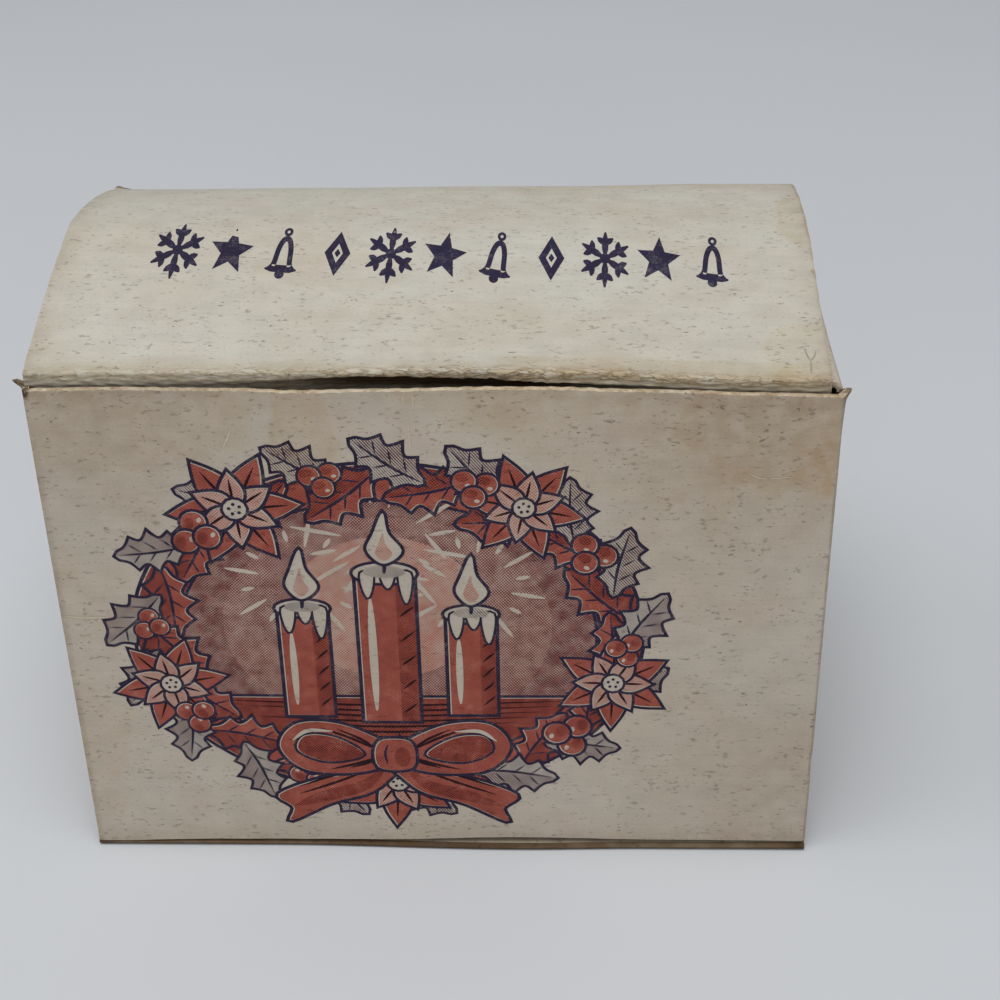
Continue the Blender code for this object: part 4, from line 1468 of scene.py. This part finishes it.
def grow_tree(tree, values):
    """Evaluate a tree with these inputs and return its result as a plain mesh."""
    carrier = new_object(tree.name, bpy.data.meshes.new(tree.name))
    modifier = carrier.modifiers.new(tree.name, "NODES")
    modifier.node_group = tree
    for item in tree.interface.items_tree:
        if item.item_type == "SOCKET" and item.in_out == "INPUT":
            modifier[item.identifier] = values[item.name]
    graph = bpy.context.evaluated_depsgraph_get()
    made = bpy.data.meshes.new_from_object(carrier.evaluated_get(graph), preserve_all_data_layers=True,
                                           depsgraph=graph)
    bpy.data.objects.remove(carrier, do_unlink=True)
    return made


def shapes_of(mesh):
    """The faces of a flat mesh as shapes, each with the ink that its number names."""
    numbers = mesh.attributes["ink"].data
    names = INKS + (BARE,)
    points = np.array([vertex.co.xy for vertex in mesh.vertices])
    return [(names[numbers[face.index].value], points[list(face.vertices)]) for face in mesh.polygons]


def inside(points, outline):
    """Which points lie inside a closed outline."""
    x, y = points.T
    first = outline
    second = np.roll(outline, -1, axis=0)
    crosses = (first[:, 1:] > y) != (second[:, 1:] > y)
    rise = second[:, 1:] - first[:, 1:]
    rise = np.where(np.abs(rise) < 1e-12, 1e-12, rise)
    at = first[:, :1] + (y - first[:, 1:]) * (second[:, :1] - first[:, :1]) / rise
    return (crosses & (x < at)).sum(axis=0) % 2 == 1


def ink_film(name, shapes, place_on, sheet_of, spots, materials):
    """Cut overlapping shapes, in millimetres, into one skin with the later shapes over the earlier, and lay
    it on a board. Bare shapes and the space between are left open."""
    points = []
    edges = []
    for _, outline in shapes:
        first = len(points)
        count = len(outline)
        points += [Vector(point) for point in outline]
        edges += [(first + number, first + (number + 1) % count) for number in range(count)]
    everything = np.concatenate([outline for _, outline in shapes])
    low = everything.min(axis=0)
    high = everything.max(axis=0)
    for x in np.arange(low[0], high[0], FILM_PITCH):
        for y in np.arange(low[1], high[1], FILM_PITCH):
            points.append(Vector((x + 0.013, y + 0.017)))
    made, _, triangles, _, _, _ = delaunay_2d_cdt(points, edges, [], 0, 1e-5, False)
    places = np.array([point[:] for point in made])
    triangles = np.array(triangles)
    middles = places[triangles].mean(axis=1)
    top = np.full(len(triangles), -1)
    names = list(materials)
    for ink, outline in shapes:
        outline = np.asarray(outline)
        box_low = outline.min(axis=0)
        box_high = outline.max(axis=0)
        near = np.flatnonzero(np.all((middles >= box_low) & (middles <= box_high), axis=1))
        covered = near[inside(middles[near], outline)]
        top[covered] = -1 if ink == BARE else names.index(ink)
    corners = places[triangles]
    edge_a = corners[:, 1] - corners[:, 0]
    edge_b = corners[:, 2] - corners[:, 0]
    area = np.abs(edge_a[:, 0] * edge_b[:, 1] - edge_a[:, 1] * edge_b[:, 0])
    keep = (top >= 0) & (area > 1e-7)
    triangles = triangles[keep]
    used, faces = np.unique(triangles, return_inverse=True)
    faces = faces.reshape(-1, 3)
    flat = places[used] * MM
    surface = place_on(flat[:, 0], flat[:, 1])
    sheet = sheet_of(flat[:, 0], flat[:, 1])
    marks = np.zeros((len(used), len(MARKS)))
    marks[:, MARKS.index("stain")] = stain_at(flat[:, 0], flat[:, 1], spots)
    return solid_mesh(name, surface, faces, sheet[faces], top[keep], marks, list(materials.values()))


def front_sheet(board):
    """Returns a function that gives the place on the flat sheet of points of the front panel."""
    columns = sleeve_columns(board)
    middle = min((column for column in columns if column[5] == "front"), key=lambda column: abs(column[1][0]))

    def places(x, z):
        return np.stack([middle[0] + x - middle[1][0], z], axis=1)
    return places


def lid_sheet(board):
    """Returns a function that gives the place on the flat sheet of points of the top lid."""
    def places(x, y):
        return np.stack([back_along(board, x), TOP_CREASE + BACK - y], axis=1)
    return places


def wreath_shapes(prints, materials):
    """Two rings of leaves with flowers and berries between them."""
    tree = ring_tree("Motif ring", list(materials))
    sets = (
        (leaf_motif("brick", "deep"), prints.leaves, 21.6, 17.4, 0.10, 0.62, 0.16, 0.92, 4),
        (leaf_motif("haze", "lavender"), prints.leaves, 20.6, 16.4, 0.28, -0.55, 0.16, 0.84, 9),
        (flower_motif(), 5, 20.9, 16.8, 0.95, 0.3, 0.3, 0.98, 5),
        (berry_motif(), 10, 21.0, 17.0, 0.55, 0.2, 0.5, 0.86, 6),
    )
    shapes = []
    names = ("Count", "Half Width", "Half Height", "Start", "Tilt", "Looseness", "Size", "Seed")
    for motif, *values in sets:
        piece = motif_object("motif", motif)
        shapes += shapes_of(grow_tree(tree, {"Motif": piece, **dict(zip(names, values))}))
        bpy.data.objects.remove(piece, do_unlink=True)
    return shapes


def front_shapes(prints, materials):
    """The front panel's design: candles in a round field, a wreath about them and a ribbon bow below."""
    shapes = outlined("deep", ellipse((0.0, 0.0), 22.4, 18.0, 90))
    for ink, y, half_width, half_height, points in (
            ("brick", 0.0, 21.2, 16.9, 90), ("navy", 0.0, 18.6, 14.6, 90), ("maroon", 0.0, 18.3, 14.3, 90),
            ("dusk", 1.2, 14.5, 11.6, 70), ("rose", 3.2, 8.4, 7.6, 60)):
        shapes.append((ink, ellipse((0.0, y), half_width, half_height, points)))
    for centre, height, reach in ((0.0, 10.2, 8.0), (-7.4, 6.2, 6.6), (7.4, 5.6, 6.6)):
        shapes += flame_rays(centre, height, reach, 16)
    table = np.array([point for point in ellipse((0.0, 0.0), 18.3, 14.3, 90) if point[1] < -6.0])
    shapes += outlined("deep", table[np.argsort(np.arctan2(table[:, 1] + 7, table[:, 0]))], 0.3)
    for number in range(9):
        y = -7.1 - 0.62 * number
        half = 15.4 - number * 1.05
        shapes.append(("umber", stroke([(-half + 1.5 * (number % 3), y), (-0.5, y - 0.5), (half, y)], 0.26)))
    for centre, base, top, half in ((-7.4, -8.8, 3.2, 2.1), (7.4, -8.6, 2.6, 2.1), (0.0, -9.4, 7.0, 2.5)):
        shapes += candle(centre, base, top, half)
    shapes += wreath_shapes(prints, materials)
    shapes += ribbon_bow((0.0, -13.4))
    return moved(shapes, PRINT_CENTRE, PRINT_SCALE)


def lid_shapes(prints, materials):
    """The row of ornaments on the lid, shapes in the lid's own plan."""
    motifs = bpy.data.collections.new("lid motifs")
    bpy.context.scene.collection.children.link(motifs)
    pieces = []
    for number, shapes in enumerate(lid_motifs()):
        piece = motif_object(f"motif {number}", shapes)
        bpy.context.scene.collection.objects.unlink(piece)
        motifs.objects.link(piece)
        pieces.append(piece)
    made = grow_tree(row_tree("Motif row", list(materials)),
                     {"Motifs": motifs, "Count": prints.ornaments, "Spacing": prints.ornament_spacing / MM,
                      "Lean": -0.12, "Looseness": 0.1, "Seed": 3})
    for piece in pieces:
        bpy.data.objects.remove(piece, do_unlink=True)
    bpy.data.collections.remove(motifs)
    return moved(shapes_of(made), LID_ROW_CENTRE, LID_ROW_SCALE)


LID_ROW_CENTRE = (0.4, -3.4)
LID_ROW_SCALE = (0.68, 1.25)


def scuff_lines(kind, taper, lines):
    """Thin marks of one kind, each with its width and the points it runs through."""
    return [(kind, stroke(points, width, taper, 9)) for width, points in lines]


def front_scuff_shapes():
    """Scratches of the front panel."""
    return scuff_lines("rubbed", 0.5, (
        (0.11, [(-2.66, 56.0), (-2.64, 55.4), (-2.68, 54.8)]),
        (0.10, [(-1.72, 56.0), (-1.73, 55.4), (-1.76, 54.7)]),
        (0.13, [(-2.26, 53.2), (-2.21, 51.5), (-2.15, 49.9)]),
        (0.15, [(-18.9, 52.4), (-19.3, 51.3), (-19.9, 50.2)]),
        (0.2, [(-37.5, 30.7), (-35.4, 30.5), (-32.9, 30.6)]),
        (0.12, [(29.5, 47.6), (31.0, 46.9), (33.8, 47.1)])))


def lid_scuff_shapes():
    """A forked crease, a worn nick and a torn corner of the lid, in its own plan."""
    fork = (35.1, -19.1)
    nick = [(36.68, -5.1), (36.8, -4.8), (36.65, -4.5), (36.5, -4.75)]
    corner = [(-37.45, 21.0), (-37.2, 22.1), (-36.0, 22.15), (-34.3, 22.15), (-35.9, 21.4)]
    shapes = scuff_lines("crease", 0.4, (
        (0.2, [fork, (35.05, -20.1), (34.95, -21.2)]), (0.16, [fork, (34.85, -18.2), (34.7, -17.2)]),
        (0.16, [fork, (35.5, -18.4), (35.75, -17.5)])))
    return shapes + [("rust", closed_curve(nick, 12)), ("torn", closed_curve(corner, 20))]


def scuff_materials(name, board):
    """Rubbed board fibre, a soft crease, torn brown fibre and worn rusty red."""
    finishes = (("rubbed", "rubbed fibre", board.raw_edge, 1.0),
                ("crease", "soft crease", (0.36, 0.32, 0.265, 1.0), 0.3),
                ("torn", "torn fibre", (0.30, 0.215, 0.15, 1.0), 0.6),
                ("rust", "rusty nick", (0.42, 0.30, 0.24, 1.0), 0.3))
    return {kind: board_material(f"{name} {finish}", colour, fleck)
            for kind, finish, colour, fleck in finishes}


def fibre_motif():
    """One loose fibre, a thin bent spike 1 long that stands on its root."""
    rings = ((0.0, 0.0, 0.05), (0.10, 0.45, 0.04), (0.34, 0.85, 0.02))
    points = []
    for lean, height, reach in rings:
        for corner in range(3):
            angle = corner * 2 * math.pi / 3
            points.append((lean + reach * math.cos(angle), reach * math.sin(angle), height))
    points.append((0.5, 0.0, 1.0))
    faces = [(2, 1, 0)]
    for ring in range(len(rings) - 1):
        for corner in range(3):
            here, there = 3 * ring + corner, 3 * ring + (corner + 1) % 3
            faces.append((here, there, there + 3, here + 3))
    tip = len(points) - 1
    faces += [(tip - 3 + corner, tip - 3 + (corner + 1) % 3, tip) for corner in range(3)]
    return plain_object("fibre", points, [], faces)


def plain_object(name, points, edges, faces):
    """An object of plain points, edges and faces."""
    mesh = bpy.data.meshes.new(name)
    mesh.from_pydata([tuple(point) for point in points], edges, faces)
    return new_object(name, mesh)


def fibre_tree(name):
    """Loose fibres along a rail, leaning by chance about the way they point."""
    nodes, source, out = new_tree(name, (
        ("Rail", "NodeSocketObject", None), ("Fibre", "NodeSocketObject", None),
        ("Spacing", "NodeSocketFloat", 0.0008), ("Size", "NodeSocketFloat", 0.0005),
        ("Aim", "NodeSocketVector", (0.0, 0.0, 0.0)), ("Lean", "NodeSocketFloat", 0.9),
        ("Seed", "NodeSocketInt", 1), ("Material", "NodeSocketMaterial", None)))
    rail = nodes.add("GeometryNodeObjectInfo", {"Object": source["Rail"]}).outputs["Geometry"]
    line = nodes.add("GeometryNodeMeshToCurve", {"Mesh": rail}).outputs[0]
    points = nodes.add("GeometryNodeCurveToPoints", {"Curve": line, "Length": source["Spacing"]},
                       mode="LENGTH")
    slide = nodes.add("FunctionNodeRandomValue", {"Seed": source["Seed"]}, data_type="FLOAT_VECTOR")
    nodes.feed(slide.inputs[0], (-1.0, -1.0, -1.0))
    nodes.feed(slide.inputs[1], (1.0, 1.0, 1.0))
    lean = nodes.add("ShaderNodeVectorMath", {0: slide.outputs[0], "Scale": source["Lean"]},
                     operation="SCALE")
    turn = nodes.vector("ADD", source["Aim"], lean.outputs["Vector"])
    size = nodes.times(source["Size"], nodes.chance(nodes.plus(source["Seed"], 1.0), 0.25))
    fibre = nodes.add("GeometryNodeObjectInfo", {"Object": source["Fibre"]}).outputs["Geometry"]
    instances = nodes.add("GeometryNodeInstanceOnPoints", {"Points": points.outputs["Points"],
                                                           "Instance": fibre, "Rotation": turn,
                                                           "Scale": size}).outputs[0]
    shape = nodes.add("GeometryNodeRealizeInstances", {0: instances}).outputs[0]
    shape = nodes.add("GeometryNodeSetMaterial", {"Geometry": shape,
                                                  "Material": source["Material"]}).outputs[0]
    nodes.feed(out.inputs[0], shape)
    return nodes.tree


def edge_fibres(name, rails, size, seed, material):
    """One piece of loose fibres along a few rails, each with its points and the way its fibres point."""
    tree = fibre_tree("Edge fibres")
    fibre = fibre_motif()
    joined = bmesh.new()
    for number, (points, aim) in enumerate(rails):
        edges = [(index, index + 1) for index in range(len(points) - 1)]
        rail = plain_object("rail", points, edges, [])
        made = grow_tree(tree, {"Rail": rail, "Fibre": fibre, "Spacing": FIBRE_SPACING, "Size": size,
                                "Aim": aim, "Lean": FIBRE_LEAN, "Seed": seed + 2 * number,
                                "Material": material})
        joined.from_mesh(made)
        bpy.data.objects.remove(rail, do_unlink=True)
    bpy.data.objects.remove(fibre, do_unlink=True)
    mesh = bpy.data.meshes.new(name)
    joined.to_mesh(mesh)
    joined.free()
    mesh.materials.append(material)
    return new_object(name, mesh)


FIBRE_SPACING = 0.9 * MM
FIBRE_LEAN = 1.2
FIBRE_SIZE = 0.38 * MM


def fibre_material(board):
    """Pale loose fibre."""
    material, _, surface = new_material("loose fibre")
    surface.inputs["Base Color"].default_value = board.raw_edge
    surface.inputs["Roughness"].default_value = 0.9
    surface.inputs["Specular IOR Level"].default_value = 0.2
    return material


def lid_place(x, y):
    """Points just over the printed face of the top lid."""
    return np.stack([x, y, TOP_CREASE + top_height(x, y) + FILM_LIFT * 1.3], axis=-1)


class CARTON_OT_sleeve(bpy.types.Operator):
    """Build the sleeve's folded board"""

    bl_idname = "carton.sleeve"
    bl_label = "Sleeve"

    def execute(self, context):
        board = context.scene.carton_board
        piece = build_sleeve(board, board_materials(board, "sleeve", board.sleeve_face))
        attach(piece, "sleeve")
        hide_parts("carton_sleeve")
        return {"FINISHED"}


class CARTON_OT_top_lid(bpy.types.Operator):
    """Build the bowed top lid"""

    bl_idname = "carton.top_lid"
    bl_label = "Top lid"

    def execute(self, context):
        board = context.scene.carton_board
        piece = build_top_lid(board, board_materials(board, "top lid", board.lid_face))
        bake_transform(piece)
        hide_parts("top_lid")
        return {"FINISHED"}


class CARTON_OT_bottom_lid(bpy.types.Operator):
    """Build the bottom lid"""

    bl_idname = "carton.bottom_lid"
    bl_label = "Bottom lid"

    def execute(self, context):
        board = context.scene.carton_board
        piece = build_bottom_lid(board, board_materials(board, "bottom lid", board.base_face))
        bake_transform(piece)
        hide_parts("bottom_lid")
        return {"FINISHED"}


class CARTON_OT_front_print(bpy.types.Operator):
    """Print the front panel's design"""

    bl_idname = "carton.front_print"
    bl_label = "Front print"

    def execute(self, context):
        board = context.scene.carton_board
        prints = context.scene.carton_print
        materials = ink_materials(prints, "front", board.sleeve_face)

        def on_front(x, z):
            place = front_place(x, z, board)
            place[:, 1] -= FILM_LIFT
            return place

        shapes = front_shapes(prints, materials.values())
        piece = ink_film("front_print", shapes, on_front, front_sheet(board), FRONT_STAINS, materials)
        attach(piece, "sleeve")
        return {"FINISHED"}


class CARTON_OT_lid_print(bpy.types.Operator):
    """Print the row of ornaments on the top lid"""

    bl_idname = "carton.lid_print"
    bl_label = "Lid print"

    def execute(self, context):
        board = context.scene.carton_board
        prints = context.scene.carton_print
        materials = ink_materials(prints, "lid", board.lid_face)

        shapes = lid_shapes(prints, materials.values())
        piece = ink_film("lid_print", shapes, lid_place, lid_sheet(board), LID_STAINS, materials)
        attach(piece, "top_lid")
        return {"FINISHED"}


class CARTON_OT_scuffs(bpy.types.Operator):
    """Add the scratches, creases and worn spots of the front and the lid"""

    bl_idname = "carton.scuffs"
    bl_label = "Scuffs"

    def execute(self, context):
        board = context.scene.carton_board

        def on_front(x, z):
            return front_place(x, z, board) - (0.0, 2.4 * FILM_LIFT, 0.0)

        def on_lid(x, y):
            return lid_place(x, y) + (0.0, 0.0, 1.2 * FILM_LIFT)

        front = ink_film("front_scuffs", front_scuff_shapes(), on_front, front_sheet(board), (),
                         scuff_materials("front", board))
        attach(front, "sleeve")
        lid = ink_film("lid_scuffs", lid_scuff_shapes(), on_lid, lid_sheet(board), (),
                       scuff_materials("lid", board))
        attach(lid, "top_lid")
        return {"FINISHED"}


class CARTON_OT_fibres(bpy.types.Operator):
    """Add the loose fibres of the raw edges"""

    bl_idname = "carton.fibres"
    bl_label = "Edge fibres"

    def execute(self, context):
        board = context.scene.carton_board
        material = fibre_material(board)
        x = np.linspace(-37.4, 37.4, 120) * MM
        top = np.stack([x, FRONT + 0.3 * MM + 0 * x, front_top(x)], axis=1)
        front = edge_fibres("front_fibres", [(top, (0.0, 0.0, 0.0))], FIBRE_SIZE, 4, material)
        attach(front, "sleeve")
        y = np.linspace(-21.2, 20.0, 90) * MM
        rails = []
        for side in (-1, 1):
            edge = LID_CENTRE + side * LID_HALF_WIDTH + LID_SKEW * smooth_step((BACK - y) / DEPTH)
            height = TOP_CREASE + top_height(edge, y) - 0.3 * MM
            rails.append((np.stack([edge, y, height], axis=1), (0.0, side * math.pi / 2, 0.0)))
        lid = edge_fibres("lid_fibres", rails, 0.7 * FIBRE_SIZE, 9, material)
        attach(lid, "top_lid")
        return {"FINISHED"}


FLOOR_RADIUS = 1.2
CAMERA_PLACE = Vector((12.0, -177.4, 144.5)) * MM
CAMERA_TARGET = Vector((6.16, -22.85, 44.48)) * MM
CAMERA_ROLL = math.radians(-1.17)
LAMPS = {"key": ((0.0, -0.24, 0.90), 0.6), "side": ((-0.50, -0.135, 0.74), 0.5),
         "fill": ((0.0, -0.96, 0.72), 1.0)}


def stage_floor(settings):
    """A pale floor."""
    mesh = bpy.data.meshes.new("stage_floor")
    shape = bmesh.new()
    bmesh.ops.create_circle(shape, cap_ends=True, segments=96, radius=FLOOR_RADIUS)
    shape.to_mesh(mesh)
    shape.free()
    material, nodes, surface = new_material("pale floor")
    place = nodes.add("ShaderNodeTexCoord").outputs["Object"]
    cloud = nodes.add("ShaderNodeTexNoise", {"Vector": place, "Scale": 9.0, "Detail": 2.0}).outputs[0]
    colour = nodes.tint(nodes.ramp(cloud, 0.3, 0.7), settings.floor, (0.975, 0.975, 0.98))
    nodes.feed(surface.inputs["Base Color"], colour)
    surface.inputs["Roughness"].default_value = 0.7
    surface.inputs["Specular IOR Level"].default_value = 0.2
    mesh.materials.append(material)
    floor = new_object("stage_floor", mesh)


def stage_light(settings):
    """Even light from all round, and soft lamps overhead, on the left and in front."""
    world = bpy.data.worlds.new("soft light")
    bpy.context.scene.world = world
    world.use_nodes = True
    nodes = Nodes(world.node_tree)
    out = next(node for node in world.node_tree.nodes if node.type == "OUTPUT_WORLD")
    soft = nodes.add("ShaderNodeBackground", {"Color": (0.985, 0.99, 1.0, 1.0), "Strength": settings.sky})
    seen = nodes.add("ShaderNodeBackground", {"Color": settings.floor, "Strength": 1.0})
    rays = nodes.add("ShaderNodeLightPath")
    mixed = nodes.add("ShaderNodeMixShader", {0: rays.outputs["Is Camera Ray"], 1: soft.outputs[0],
                                              2: seen.outputs[0]})
    nodes.feed(out.inputs["Surface"], mixed.outputs[0])
    for name, (place, size) in LAMPS.items():
        lamp = bpy.data.lights.new(name, "AREA")
        lamp.shape = "DISK"
        lamp.size = size
        lamp.energy = getattr(settings, name)
        lamp.color = (1.0, 0.99, 0.97)
        holder = new_object(name, lamp)
        holder.location = place
        holder.rotation_euler = (-Vector(place)).to_track_quat("-Z", "Y").to_euler()


def stage_camera(settings):
    """The camera at the photograph's viewing angle."""
    data = bpy.data.cameras.new("camera")
    data.lens = settings.lens
    data.sensor_width = 36.0
    data.clip_start = 0.01
    data.clip_end = 10.0
    camera = new_object("camera", data)
    ahead = (CAMERA_TARGET - CAMERA_PLACE).normalized()
    level = ahead.cross(Vector((0.0, 0.0, 1.0))).normalized()
    upright = level.cross(ahead)
    right = math.cos(CAMERA_ROLL) * level + math.sin(CAMERA_ROLL) * upright
    up = -math.sin(CAMERA_ROLL) * level + math.cos(CAMERA_ROLL) * upright
    camera.matrix_world = Matrix.Translation(CAMERA_PLACE) @ Matrix((right, up, -ahead)).transposed().to_4x4()
    bpy.context.scene.camera = camera


class CARTON_OT_stage(bpy.types.Operator):
    """Set the floor, the light and the camera"""

    bl_idname = "carton.stage"
    bl_label = "Stage"

    def execute(self, context):
        settings = context.scene.carton_stage
        stage_floor(settings)
        stage_light(settings)
        stage_camera(settings)
        context.scene.view_settings.view_transform = "Standard"
        return {"FINISHED"}


OPERATORS = (CARTON_OT_sleeve, CARTON_OT_top_lid, CARTON_OT_bottom_lid, CARTON_OT_front_print,
             CARTON_OT_lid_print, CARTON_OT_scuffs, CARTON_OT_fibres, CARTON_OT_stage)


class CARTON_PT_panel(bpy.types.Panel):
    """The carton's operators and settings"""

    bl_label = "Tuck-end carton"
    bl_idname = "CARTON_PT_panel"
    bl_space_type = "VIEW_3D"
    bl_region_type = "UI"
    bl_category = "Carton"

    def draw(self, context):
        for operator in OPERATORS:
            self.layout.operator(operator.bl_idname)
        for settings in (context.scene.carton_board, context.scene.carton_print, context.scene.carton_stage):
            box = self.layout.box()
            for name in settings.__annotations__:
                box.prop(settings, name)


CLASSES = (BoardSettings, PrintSettings, StageSettings) + OPERATORS + (CARTON_PT_panel,)


def register():
    for cls in CLASSES:
        bpy.utils.register_class(cls)
    bpy.types.Scene.carton_board = PointerProperty(type=BoardSettings)
    bpy.types.Scene.carton_print = PointerProperty(type=PrintSettings)
    bpy.types.Scene.carton_stage = PointerProperty(type=StageSettings)


def unregister():
    del bpy.types.Scene.carton_stage
    del bpy.types.Scene.carton_print
    del bpy.types.Scene.carton_board
    for cls in reversed(CLASSES):
        bpy.utils.unregister_class(cls)


def main():
    """Build everything in order."""
    register()
    bpy.ops.carton.sleeve()
    bpy.ops.carton.top_lid()
    bpy.ops.carton.bottom_lid()
    bpy.ops.carton.front_print()
    bpy.ops.carton.lid_print()
    bpy.ops.carton.scuffs()
    bpy.ops.carton.fibres()
    bpy.ops.carton.stage()


if __name__ == "__main__":
    main()
